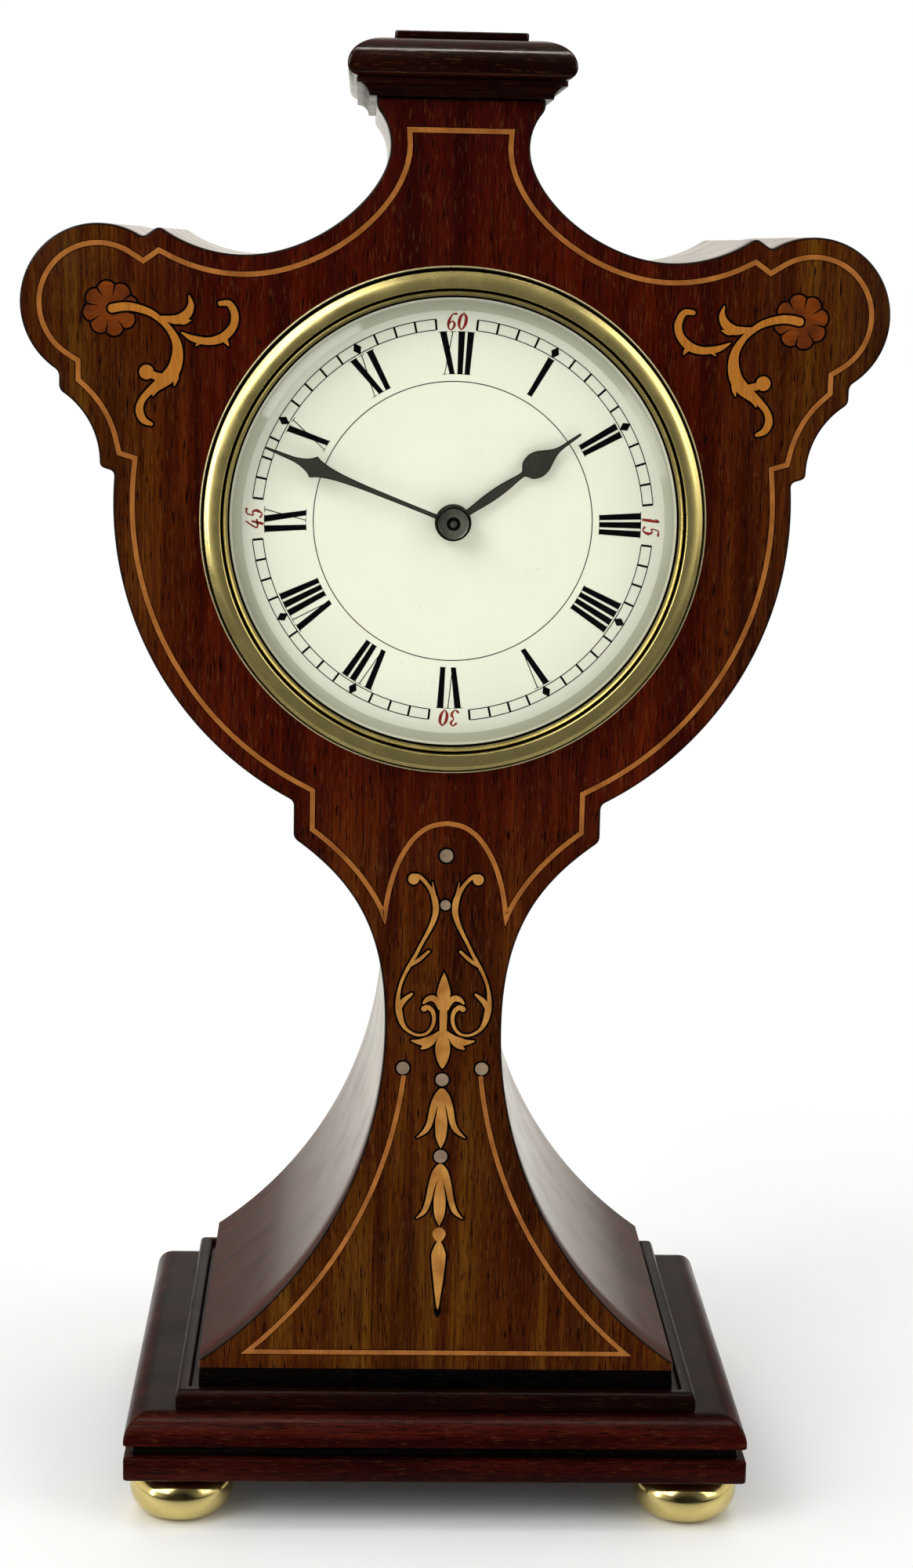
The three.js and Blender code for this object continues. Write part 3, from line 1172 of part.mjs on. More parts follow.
// Motion work and hands
const hourPipeInner = holeFor(CANNON_PIPE_RADIUS);
const hourPipeRadius = hourPipeInner + HOUR_PIPE_WALL;
const dialHole = holeFor(hourPipeRadius) + CLEAR;
function addHands() {
  const arborTip = colletFace - CLEAR;
  const arborEnd = backPlateBack + CLEAR;
  const square = 2 * ARBOR_RADIUS;
  const arbor = join(
    rod(ARBOR_RADIUS, arborTip, arborEnd),
    box(square, squareEnd - arborEnd + SEAT, square, 0, (squareEnd + arborEnd - SEAT) / 2, 0),
  );
  addPiece(movement, "centre_arbor", arbor, STEEL);
  const cannonTeeth = board(
    pinionShape(CANNON_LEAVES, MOTION_MODULE, MINUTE_WHEEL_ANGLE),
    cannonLevel - CLEAR,
    cannonLevel + WHEEL_THICKNESS + CLEAR,
  );
  const pipe = rod(CANNON_PIPE_RADIUS, minuteHandFace, frontPlateFront - CLEAR);
  const cannonBore = rod(holeFor(ARBOR_RADIUS), minuteHandFace - THROUGH, frontPlateFront);
  addPiece(movement, "cannon_pinion", cut(join(cannonTeeth, pipe), cannonBore), STEEL);

  const minuteHub = pinionTip(MINUTE_LEAVES, hourModule) + HUB_WIDTH;
  const minuteShape = wheelShape(MINUTE_WHEEL_TEETH, MOTION_MODULE, MINUTE_WHEEL_ANGLE + 180, minuteHub);
  const minuteDisc = board(minuteShape, cannonLevel, cannonLevel + WHEEL_THICKNESS);
  const minutePinion = board(
    pinionShape(MINUTE_LEAVES, hourModule, MINUTE_WHEEL_ANGLE + 180),
    hourLevel - CLEAR,
    cannonLevel,
  );
  const studBack = frontPlateFront - SEAT;
  const flange = studBack - CLEAR;
  const studFront = hourLevel - CLEAR;
  const minuteBore = rod(holeFor(MINUTE_STUD_RADIUS), hourLevel - LEVEL_STEP, cannonLevel + LEVEL_STEP);
  addPiece(movement, "minute_wheel", cut(join(minuteDisc, minutePinion), minuteBore), BRASS, minuteCentre);
  const stud = turned([
    [0, studFront],
    [MINUTE_STUD_RADIUS, studFront],
    [MINUTE_STUD_RADIUS, flange],
    [MINUTE_STUD_RADIUS + MINUTE_STUD_FLANGE, flange],
    [MINUTE_STUD_RADIUS + MINUTE_STUD_FLANGE, studBack],
    [0, studBack],
  ]);
  addPiece(movement, "minute_stud", stud, STEEL, minuteCentre);

  const hourWheel = wheelShape(HOUR_TEETH, hourModule, MINUTE_WHEEL_ANGLE, hourPipeRadius + HUB_WIDTH);
  const hourDisc = board(hourWheel, hourLevel, hourLevel + WHEEL_THICKNESS);
  const hourPipe = rod(hourPipeRadius, hourHandFace, hourLevel + WHEEL_THICKNESS / 2);
  const hourBore = rod(hourPipeInner, hourHandFace - THROUGH, hourLevel + LEVEL_STEP);
  addPiece(movement, "hour_wheel", cut(join(hourDisc, hourPipe), hourBore), BRASS);

  const minuteHandLength = sightRadius - MINUTE_HAND_GAP;
  const hourSpade = spadeHand(
    minuteHandLength - HOUR_HAND_SHORTER,
    HOUR_SPADE_DROP,
    HOUR_SPADE_HALF,
    HOUR_BOSS_RADIUS,
    hourPipeRadius,
  );
  const hourHand = board(hourSpade, hourHandFace, hourHandFace + HAND_THICKNESS, 6);
  const hourTurn = 30 * (HOURS_SHOWN + MINUTES_SHOWN / 60);
  addPiece(movement, "hour_hand", hourHand.rotateY(radians(hourTurn)), DARK_STEEL);
  const minuteSpade = spadeHand(
    minuteHandLength,
    MINUTE_SPADE_DROP,
    MINUTE_SPADE_HALF,
    MINUTE_BOSS_RADIUS,
    CANNON_PIPE_RADIUS,
  );
  const minuteHand = board(minuteSpade, minuteHandFace, minuteHandFace + HAND_THICKNESS, 6);
  addPiece(movement, "minute_hand", minuteHand.rotateY(radians(6 * MINUTES_SHOWN)), DARK_STEEL);
  const bore = holeFor(ARBOR_RADIUS);
  const collet = turned([
    [bore, colletFace],
    [COLLET_RADIUS - COLLET_EASE, colletFace],
    [COLLET_RADIUS, colletFace + COLLET_EASE],
    [COLLET_RADIUS, colletFace + COLLET_HEIGHT],
    [bore, colletFace + COLLET_HEIGHT],
    [bore, colletFace],
  ], MIDDLE_ROUND);
  addPiece(movement, "hand_collet", collet, DARK_STEEL);
}

// Platform with its escape bridge, balance, hairspring, cock and regulator index
function addPlatform() {
  const halfWidth = (cockFoot.x - bridgeFoot.x) / 2 + PLATFORM_MARGIN - PLATFORM_CORNER;
  const halfHeight = platformCentre.y - cockFoot.y + PLATFORM_MARGIN - PLATFORM_CORNER;
  const shape = new THREE.Shape();
  rectangle(platformCentre, halfWidth, halfHeight).forEach((place, corner) => {
    const turn = radians(90 * (corner - 2));
    shape.absarc(place.x, place.y, PLATFORM_CORNER, turn, turn + Math.PI / 2);
  });
  addHole(shape, escapeHole, escapeCentre);
  const staffPivotHole = holeFor(STAFF_PIVOT_RADIUS, TINY_ROUND);
  addHole(shape, staffPivotHole, balanceCentre, TINY_ROUND);
  addPiece(movement, "platform", board(shape, platformFront, platformBack, 5), BRASS);

  const footFace = platformBack + SEAT;
  const bridgeBack = bridgeFace + BRIDGE_THICKNESS;
  const bar = box(
    bridgeLength + BRIDGE_WIDTH,
    BRIDGE_THICKNESS,
    BRIDGE_WIDTH,
    -bridgeLength / 2,
    (bridgeFace + bridgeBack) / 2,
    0,
  );
  const foot = box(
    BRIDGE_WIDTH,
    bridgeBack - footFace,
    BRIDGE_WIDTH,
    -bridgeLength,
    (bridgeBack + footFace) / 2,
    0,
  );
  const bridgeHole = rod(holeFor(PIVOT_RADIUS), bridgeFace - THROUGH, bridgeBack + THROUGH);
  const bridge = cut(join(bar, foot), bridgeHole).rotateY(-radians(BALANCE_ANGLE));
  addPiece(movement, "escape_bridge", bridge, BRASS, escapeCentre);

  const balanceBack = balanceLevel + BALANCE_THICKNESS;
  const rim = tube(BALANCE_RADIUS - BALANCE_RIM, BALANCE_RADIUS, balanceLevel, balanceBack, MIDDLE_ROUND);
  const arm = box(
    2 * BALANCE_RADIUS - BALANCE_RIM,
    BALANCE_ARM_THICKNESS,
    BALANCE_ARM_WIDTH,
    0,
    (balanceLevel + balanceBack) / 2,
    0,
  );
  const staffFront = platformBack + END_SHAKE;
  const staffBack = cockFace - END_SHAKE;
  const staff = turned([
    [0, platformFront + SEAT],
    [STAFF_PIVOT_RADIUS, platformFront + SEAT],
    [STAFF_PIVOT_RADIUS, staffFront],
    [STAFF_RADIUS, staffFront],
    [STAFF_RADIUS, staffBack],
    [STAFF_PIVOT_RADIUS, staffBack],
    [STAFF_PIVOT_RADIUS, cockBack],
    [0, cockBack],
  ], TINY_ROUND);
  addPiece(movement, "balance_wheel", join(rim, arm, staff), BRASS, balanceCentre);
  const springFace = balanceBack + CLEAR;
  const springShape = spiral(
    HAIRSPRING_INNER_RADIUS,
    HAIRSPRING_RADIUS,
    HAIRSPRING_TURNS,
    HAIRSPRING_THICKNESS,
    COCK_ANGLE,
  );
  const hairspring = board(springShape, springFace, springFace + HAIRSPRING_HEIGHT);
  addPiece(movement, "hairspring", hairspring, DARK_STEEL, balanceCentre);

  const reach = cockFoot.distanceTo(balanceCentre);
  const cockMiddle = (cockFace + cockBack) / 2;
  const cockBar = box(reach + COCK_WIDTH, COCK_THICKNESS, COCK_WIDTH, reach / 2, cockMiddle, 0);
  const postMiddle = (cockBack + footFace) / 2;
  const cockPost = box(COCK_WIDTH, cockBack - footFace, COCK_WIDTH, reach, postMiddle, 0);
  const bossBack = cockBack + COCK_BOSS_HEIGHT;
  const boss = rod(COCK_BOSS_RADIUS, cockMiddle, bossBack);
  const studPlace = HAIRSPRING_RADIUS + HAIRSPRING_THICKNESS / 2 + HAIRSPRING_STUD_RADIUS + SEAT;
  const stud = rod(HAIRSPRING_STUD_RADIUS, springFace, cockMiddle, TINY_ROUND).translate(studPlace, 0, 0);
  const staffHole = rod(staffPivotHole, cockFace - THROUGH, bossBack + THROUGH, TINY_ROUND);
  const cock = cut(join(cockBar, cockPost, boss, stud), staffHole).rotateY(-radians(COCK_ANGLE));
  addPiece(movement, "balance_cock", cock, BRASS, balanceCentre);
  const ringInner = holeFor(COCK_BOSS_RADIUS);
  const indexBack = indexFace + INDEX_THICKNESS;
  const ring = tube(ringInner, ringInner + INDEX_WIDTH, indexFace, indexBack);
  const tailStart = ringInner + INDEX_WIDTH / 2;
  const tailLength = INDEX_LENGTH - tailStart;
  const tailMiddle = (indexFace + indexBack) / 2;
  const tail = box(tailLength, INDEX_THICKNESS, INDEX_WIDTH, tailStart + tailLength / 2, tailMiddle, 0);
  const index = join(ring, tail).rotateY(-radians(COCK_ANGLE + 180));
  addPiece(movement, "regulator_index", index, STEEL, balanceCentre);
}

addFeet();
addBase();
addCase();
addCap();
addFront();
addRear();
addPlates();
addBarrel();
addTrain();
addHands();
addPlatform();

export default clock;
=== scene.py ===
"""Looks of the inlaid balloon mantel clock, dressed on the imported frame."""
import itertools
import json
from math import acos, atan2, cos, degrees, dist, hypot, pi, radians, sin, sqrt, tau

import bmesh
import bpy
import numpy as np
from mathutils import Matrix, Vector
from mathutils.geometry import tessellate_polygon


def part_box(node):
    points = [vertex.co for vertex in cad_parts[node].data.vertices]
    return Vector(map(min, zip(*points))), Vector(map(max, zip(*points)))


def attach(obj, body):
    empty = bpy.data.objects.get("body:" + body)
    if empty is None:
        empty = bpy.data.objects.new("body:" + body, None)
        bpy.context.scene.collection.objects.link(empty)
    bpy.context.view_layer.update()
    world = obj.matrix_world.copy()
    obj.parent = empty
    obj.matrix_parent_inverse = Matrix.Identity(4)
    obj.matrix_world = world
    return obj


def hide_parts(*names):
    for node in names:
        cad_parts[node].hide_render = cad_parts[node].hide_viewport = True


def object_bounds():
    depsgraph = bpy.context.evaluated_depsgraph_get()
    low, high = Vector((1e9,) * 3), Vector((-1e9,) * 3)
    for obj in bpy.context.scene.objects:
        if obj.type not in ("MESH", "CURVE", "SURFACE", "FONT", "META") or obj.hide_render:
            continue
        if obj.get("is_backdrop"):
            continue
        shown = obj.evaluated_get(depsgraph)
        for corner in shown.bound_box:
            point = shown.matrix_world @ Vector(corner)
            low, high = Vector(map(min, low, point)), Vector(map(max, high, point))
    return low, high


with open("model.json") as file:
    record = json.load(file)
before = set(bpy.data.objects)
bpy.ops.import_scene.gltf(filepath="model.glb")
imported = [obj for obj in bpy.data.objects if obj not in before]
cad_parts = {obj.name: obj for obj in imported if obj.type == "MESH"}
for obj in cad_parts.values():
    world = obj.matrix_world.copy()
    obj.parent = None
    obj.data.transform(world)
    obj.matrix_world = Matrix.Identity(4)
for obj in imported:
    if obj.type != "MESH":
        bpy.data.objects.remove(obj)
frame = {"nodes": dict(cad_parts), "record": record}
cad_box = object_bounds()

MM = 0.001
SHARP_DEGREES = 32
NEAR_AXIS = 0.01
LEAST_MITRE = 0.05
LEAST_WIDTH = 0.05
CLEAR_SLACK = 0.02
STRING_TURN = 20
END_STEPS = 6


def span(node):
    """Lowest and highest corner of a CAD node, in millimetres."""
    low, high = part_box(node)
    return low / MM, high / MM


# Sizes read from the frame, in millimetres
panel_low, panel_high = span("front_panel")
core_low, core_high = span("case_core")
rear_low, rear_high = span("back_panel")
bezel_low, bezel_high = span("bezel")
glass_low, glass_high = span("glass")
dial_low, dial_high = span("dial")
FACE = panel_low.y
FOOT = panel_low.z
TOP_RISE = panel_high.z - FOOT
DIAL_Z = (dial_low.z + dial_high.z) / 2
DIAL_RISE = DIAL_Z - FOOT
DIAL_FACE = dial_low.y
CENTRE = (0, DIAL_Z)

# Balloon outline, the same sizes as in the part's source
FLARE_HALF = 42.2
WAIST_HALF = 10.15
WAIST_RISE = 61.25
WAIST_EASE = 16.6
CORNER_HALF = 26.3
CORNER_DROP = 54.5
CORNER_HEIGHT = 6.45
CORNER_EASE = (11.3, 8)
BODY_RADIUS = 56.5
LEDGE_HALF = 56.7
LEDGE_RISE = 7.6
LEDGE_STEP = (2.5, 0.75)
EAR_COVE_RADIUS = 13.85
EAR_HALF = 59.2
EAR_RADIUS = panel_high.x - EAR_HALF
EAR_RISE = 35.25
EAR_STEP_OUT = 6.65
EAR_STEP_HEIGHT = 3.1
NOTCH_IN = 7.2
NOTCH_STEP = (2.6, 1.85)
SHOULDER_HALF = 35.6
SHOULDER_DROP = 4.35
SHOULDER_EASE = 12
NECK_HALF = 11.45
NECK_RISE = 61.8
NECK_EASE = 8
NECK_FLARE = (2.4, 6)


# Paths in a plane
def polar(middle, radius, turn):
    """Place at a radius round a middle."""
    return (middle[0] + radius * cos(turn), middle[1] + radius * sin(turn))


def blended(weights, places):
    """Weighted sum of places of any dimension."""
    return tuple(sum(weight * value for weight, value in zip(weights, values)) for values in zip(*places))


def upright_radius(across, up):
    """Radius of an arc that starts upright and ends across and up from there."""
    return (across**2 + up**2) / (2 * across)


def arc_to(points, end, radius, bulge, steps):
    """Arc from the last point to end, bending to the left of the chord for bulge -1."""
    start = Vector(points[-1])
    chord = Vector(end) - start
    normal = Vector((-chord.y, chord.x)).normalized()
    rise = sqrt(max(radius**2 - chord.length_squared / 4, 0))
    centre = start + chord / 2 + normal * bulge * rise
    first = atan2(start.y - centre.y, start.x - centre.x)
    last = atan2(end[1] - centre.y, end[0] - centre.x)
    turn = (last - first + pi) % tau - pi
    points += [polar(centre, radius, first + turn * step / steps) for step in range(1, steps + 1)]


def curve_to(points, first, second, end, steps):
    """Cubic curve from the last point to end."""
    corners = (points[-1], first, second, end)
    for t in (step / steps for step in range(1, steps + 1)):
        points.append(blended(((1 - t) ** 3, 3 * t * (1 - t) ** 2, 3 * t * t * (1 - t), t**3), corners))


def case_half():
    """Right half of the balloon outline from the foot up, as (x, rise)."""
    points = [(FLARE_HALF, 0)]
    arc_to(points, (WAIST_HALF, WAIST_RISE), upright_radius(FLARE_HALF - WAIST_HALF, WAIST_RISE), -1, 60)
    corner = (CORNER_HALF, DIAL_RISE - CORNER_DROP)
    under = (corner[0] - CORNER_EASE[0], corner[1] - CORNER_EASE[1])
    curve_to(points, (WAIST_HALF, WAIST_RISE + WAIST_EASE), under, corner, 40)
    points.append((CORNER_HALF, corner[1] + CORNER_HEIGHT))
    ledge = (LEDGE_HALF, DIAL_RISE + LEDGE_RISE)
    arc_to(points, ledge, BODY_RADIUS, 1, 70)
    points.append((ledge[0] + LEDGE_STEP[0], ledge[1] + LEDGE_STEP[1]))
    step_turn = -acos(EAR_STEP_OUT / EAR_RADIUS)
    notch_turn = acos(-NOTCH_IN / EAR_RADIUS)
    ear = (EAR_HALF, DIAL_RISE + EAR_RISE)
    step_foot = ear[1] + EAR_RADIUS * sin(step_turn) - EAR_STEP_HEIGHT
    arc_to(points, (EAR_HALF + EAR_STEP_OUT, step_foot), EAR_COVE_RADIUS, -1, 24)
    steps = 64
    for step in range(steps + 1):
        points.append(polar(ear, EAR_RADIUS, step_turn + (notch_turn - step_turn) * step / steps))
    peak = (points[-1][0] - NOTCH_STEP[0], points[-1][1] + NOTCH_STEP[1])
    points.append(peak)
    shoulder = (SHOULDER_HALF, peak[1] - SHOULDER_DROP)
    arc_to(points, shoulder, upright_radius(SHOULDER_DROP, peak[0] - shoulder[0]), -1, 30)
    neck = (NECK_HALF, DIAL_RISE + NECK_RISE)
    curve_to(points, (shoulder[0] - SHOULDER_EASE, shoulder[1]), (neck[0], neck[1] - NECK_EASE), neck, 44)
    neck_top = (neck[0] + NECK_FLARE[0], neck[1] + NECK_FLARE[1])
    arc_to(points, neck_top, upright_radius(*NECK_FLARE), -1, 14)
    return [*points, (neck_top[0], TOP_RISE)]


def mirrored(half):
    """Path of a right half and its mirror image, without a second point on the axis."""
    return [*half, *((-x, rise) for x, rise in reversed(half) if x > NEAR_AXIS)]


def offset(points, distance, closed=True, limit=3.0):
    """Points moved to the left of the path by distance, with mitred corners."""
    places = [Vector(place) for place in points]
    sides = []
    for here, after in zip(places, places[1:] + places[:1]):
        way = (after - here).normalized()
        sides.append(Vector((-way.y, way.x)))
    if not closed:
        sides[-1] = sides[-2]
    moved = []
    for index, here in enumerate(places):
        before, after = sides[index - 1 if closed or index else 0], sides[index]
        shift = (before + after) / max(1 + before.dot(after), LEAST_MITRE)
        if shift.length > limit:
            shift = shift.normalized() * limit
        moved.append((here.x + shift.x * distance, here.y + shift.y * distance))
    return moved


def clear_of(points, outline, distance):
    """Points at least distance away from every side of a closed outline."""
    corners = np.array(outline)
    sides = np.roll(corners, -1, axis=0) - corners
    lengths = np.maximum((sides**2).sum(axis=1), 1e-12)
    kept = []
    for place in points:
        reach = np.array(place) - corners
        share = np.clip((reach * sides).sum(axis=1) / lengths, 0, 1)
        if np.hypot(*(reach - sides * share[:, None]).T).min() > distance - CLEAR_SLACK:
            kept.append(place)
    return kept


def thinned(points, spacing):
    """Path without points that crowd the one before, corners kept."""
    kept = [points[0]]
    for index in range(1, len(points) - 1):
        here = Vector(points[index])
        turn = (here - Vector(points[index - 1])).angle(Vector(points[index + 1]) - here, 0)
        corner = turn > radians(STRING_TURN)
        if corner and (here - Vector(kept[-1])).length < spacing and len(kept) > 1:
            kept.pop()
        if corner or (here - Vector(kept[-1])).length >= spacing:
            kept.append(points[index])
    return [*kept, points[-1]]


def spline(controls, steps=8):
    """Smooth path through control points of any dimension."""
    path = []
    for index in range(len(controls) - 1):
        picks = [controls[min(max(index + k, 0), len(controls) - 1)] for k in (-1, 0, 1, 2)]
        for t in (step / steps for step in range(steps)):
            ends = ((-t + 2 * t * t - t**3) / 2, (t**3 - t * t) / 2)
            middles = ((2 - 5 * t * t + 3 * t**3) / 2, (t + 4 * t * t - 3 * t**3) / 2)
            path.append(blended((ends[0], *middles, ends[1]), picks))
    return [*path, tuple(controls[-1])]


def round_profile(middle, radii, first, last, steps):
    """Arc from one angle to another, elliptic where radii are two."""
    across, up = radii if isinstance(radii, tuple) else (radii, radii)
    turns = [radians(first + (last - first) * step / steps) for step in range(steps + 1)]
    return [(middle[0] + across * cos(turn), middle[1] + up * sin(turn)) for turn in turns]


def circle(radius, steps=160, middle=(0, DIAL_RISE)):
    return [polar(middle, radius, tau * step / steps) for step in range(steps)]


def raised(path):
    """Path of (x, rise) in the frame."""
    return [(place[0], FOOT + place[1], *place[2:]) for place in path]


def on_dial(angle, up, across=0.0):
    """Place on the dial, turned clockwise from twelve, as (x, z)."""
    turn = radians(angle)
    return (across * cos(turn) + up * sin(turn), DIAL_Z - across * sin(turn) + up * cos(turn))


def looks_along(profile):
    """Look of each stretch, the third value of the place where it starts."""
    return [place[2] if len(place) > 2 else 0 for place in profile]


# Mesh helpers
def point(x, y, z):
    return Vector((x, y, z)) * MM


def add_ring(bm, places):
    return [bm.verts.new(point(*place)) for place in places]


def add_loop(bm, loop, depth):
    """Upright ring from a loop of (x, z)."""
    return add_ring(bm, [(x, depth, z) for x, z in loop])


def bridge(bm, first, second, look=0):
    """Faces between two rings of the same length, in their order."""
    faces = []
    for near, far in zip(zip(first, first[1:] + first[:1]), zip(second, second[1:] + second[:1])):
        faces.append(bm.faces.new((*near, *reversed(far))))
        faces[-1].material_index = look
    return faces


def cap(bm, *loops, look=0):
    """Flat face with holes."""
    corners = [vert for loop in loops for vert in loop]
    for triangle in tessellate_polygon([[vert.co for vert in loop] for loop in loops]):
        bm.faces.new([corners[index] for index in triangle]).material_index = look


def add_plate(bm, loop, front, back):
    """Flat upright plate between two depths."""
    ends = [add_loop(bm, loop, depth) for depth in (front, back)]
    for end in ends:
        cap(bm, end)
    bridge(bm, *ends)


def add_sections(bm, lefts, rights, front, back, closed=False):
    """Thin solid strip between a left and a right line."""
    sections = []
    for left, right in zip(lefts, rights):
        corners = ((left, front), (right, front), (right, back), (left, back))
        sections.append(add_ring(bm, [(side[0], depth, side[1]) for side, depth in corners]))
    for first, second in zip(sections, sections[1:]):
        bridge(bm, first, second)
    if closed:
        bridge(bm, sections[-1], sections[0])
    else:
        for end in (sections[0], sections[-1]):
            bm.faces.new(end)


def add_string(bm, path, half, front, back, closed=False):
    add_sections(bm, offset(path, half, closed), offset(path, -half, closed), front, back, closed)


def add_stroke(bm, controls, front, back, extra=0.0, steps=8):
    """Brush stroke through (x, z, width) points with round ends."""
    path = spline(controls, steps)
    body = [(Vector((x, z)), max(width, LEAST_WIDTH) / 2 + extra) for x, z, width in path]
    turns = [radians(step * 90 / END_STEPS) for step in range(1, END_STEPS)]
    ends = []
    for (here, half), (other, _) in ((body[0], body[1]), (body[-1], body[-2])):
        out = (here - other).normalized()
        ends.append([(here + out * half * sin(turn), half * cos(turn)) for turn in turns])
    line = [*ends[0][::-1], *body, *ends[1]]
    ways = offset([place for place, half in line], 1.0, closed=False, limit=1.0)
    shifts = [(place, (Vector(way) - place) * half) for (place, half), way in zip(line, ways)]
    lefts = [(place.x + shift.x, place.y + shift.y) for place, shift in shifts]
    rights = [(place.x - shift.x, place.y - shift.y) for place, shift in shifts]
    add_sections(bm, lefts, rights, front, back)


def add_turned(bm, profile, steps, middle=CENTRE, upright=False, closed=True):
    """Body turned about the dial's axis, or about an upright axis, from a profile of (radius, along)."""
    rings = []
    for radius, level, *rest in profile:
        ring = circle(radius, steps, middle)
        if upright:
            rings.append(add_ring(bm, [(x, y, level) for x, y in ring]))
        else:
            rings.append(add_loop(bm, ring, level))
    pairs = list(zip(rings, rings[1:] + rings[:1]))
    for look, pair in zip(looks_along(profile), pairs if closed else pairs[:-1]):
        bridge(bm, *pair, look)
    if not closed:
        bm.faces.new(rings[0])
        bm.faces.new(rings[-1])


def make(name, bm, looks, sharp=SHARP_DEGREES):
    """Object of a finished mesh with smooth faces and hard edges by angle."""
    bmesh.ops.recalc_face_normals(bm, faces=bm.faces)
    for face in bm.faces:
        face.smooth = True
    for edge in bm.edges:
        if len(edge.link_faces) == 2 and edge.calc_face_angle(0) > radians(sharp):
            edge.smooth = False
    mesh = bpy.data.meshes.new(name)
    bm.to_mesh(mesh)
    bm.free()
    for look in looks:
        mesh.materials.append(look)
    piece = bpy.data.objects.new(name, mesh)
    bpy.context.scene.collection.objects.link(piece)
    return piece


def add_piece(name, bm, looks, slot, *nodes, body="case", sharp=SHARP_DEGREES):
    """Piece that rides on a body and stands for CAD nodes."""
    piece = make(name, bm, looks, sharp)
    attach(piece, body)
    if nodes:
        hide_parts(*nodes)


# Materials: colours are sRGB triples, and noises have sizes in millimetres
def colour(red, green, blue):
    """Linear colour of an sRGB triple."""
    parts = []
    for part in (red / 255, green / 255, blue / 255):
        parts.append(part / 12.92 if part <= 0.04045 else ((part + 0.055) / 1.055) ** 2.4)
    return (*parts, 1.0)


class Nodes:
    """A node tree under construction."""

    def __init__(self, tree):
        self.tree = tree

    def put(self, socket, value):
        """Link a socket to another, or set it."""
        if hasattr(value, "links"):
            self.tree.links.new(value, socket)
        elif socket.type == "RGBA" and len(value) == 3:
            socket.default_value = colour(*value)
        else:
            socket.default_value = value

    def add(self, kind, inputs=None, **settings):
        """Node with its settings, and its inputs put by name or number."""
        node = self.tree.nodes.new(kind)
        for name, value in settings.items():
            setattr(node, name, value)
        for name, value in (inputs or {}).items():
            self.put(node.inputs[name], value)
        return node

    def fade(self, source, low, high, first=0.0, last=1.0):
        """Value stretched from one range to another."""
        ends = {"From Min": low, "From Max": high, "To Min": first, "To Max": last}
        return self.add("ShaderNodeMapRange", {"Value": source, **ends}).outputs["Result"]

    def math(self, operation, *values):
        return self.add("ShaderNodeMath", dict(enumerate(values)), operation=operation).outputs[0]

    def axes(self, place):
        return self.add("ShaderNodeSeparateXYZ", {0: place}).outputs

    def length(self, place):
        return self.add("ShaderNodeVectorMath", {0: place}, operation="LENGTH").outputs["Value"]

    def any_ray(self, *kinds):
        """Value that is 1 for rays of these kinds."""
        path = self.add("ShaderNodeLightPath").outputs
        total = path[kinds[0]]
        for kind in kinds[1:]:
            total = self.math("MAXIMUM", total, path[kind])
        return total

    def blend(self, amount, first, second):
        """Mix of two shaders."""
        return self.add("ShaderNodeMixShader", {0: amount, 1: first, 2: second}).outputs[0]


class Look(Nodes):
    """A material under construction."""

    def __init__(self, name, metal=0.0, shine=0.5, veneer=False):
        self.material = bpy.data.materials.new(name)
        self.material.use_nodes = True
        super().__init__(self.material.node_tree)
        self.shader = self.tree.nodes["Principled BSDF"]
        self.set({"Metallic": metal, "Specular IOR Level": shine})
        if veneer:
            self.place = self.add("ShaderNodeUVMap", uv_map="veneer").outputs["UV"]
        else:
            self.place = self.add("ShaderNodeTexCoord").outputs["Object"]

    def set(self, values):
        for name, value in values.items():
            self.put(self.shader.inputs[name], value)

    def noise(self, sizes, detail=3.0, distortion=0.0):
        """Noise whose grains have one size, or sizes along x, y and z."""
        sizes = sizes if isinstance(sizes, (list, tuple)) else [sizes] * 3
        scale = [1 / (size * MM) for size in sizes]
        place = self.add("ShaderNodeMapping", {"Vector": self.place, "Scale": scale}).outputs["Vector"]
        inputs = {"Vector": place, "Scale": 1.0, "Detail": detail, "Distortion": distortion}
        return self.add("ShaderNodeTexNoise", inputs).outputs["Fac"]

    def ramp(self, source, positions, tones):
        ramp = self.add("ShaderNodeValToRGB", {"Fac": source})
        stops = ramp.color_ramp.elements
        while len(stops) < len(tones):
            stops.new(0.5)
        for stop, position, tone in zip(stops, positions, tones):
            stop.position = position
            stop.color = colour(*tone)
        return ramp.outputs["Color"]

    def mix(self, amount, first, second):
        """Mix of two colours."""
        return self.add("ShaderNodeMix", {0: amount, 6: first, 7: second}, data_type="RGBA").outputs[2]

    def finish(self, tone, roughness, height, depth):
        """Colour, roughness and a bump of about depth millimetres."""
        bump = self.add("ShaderNodeBump", {"Distance": depth * MM, "Height": height})
        self.set({"Base Color": tone, "Roughness": roughness, "Normal": bump.outputs["Normal"]})
        return self.material

    def show(self, surface):
        self.put(self.tree.nodes["Material Output"].inputs["Surface"], surface)


def along(grain, across, length):
    """Sizes of a noise stretched along the x, y or z axis."""
    return [length if axis == grain else across for axis in "xyz"]


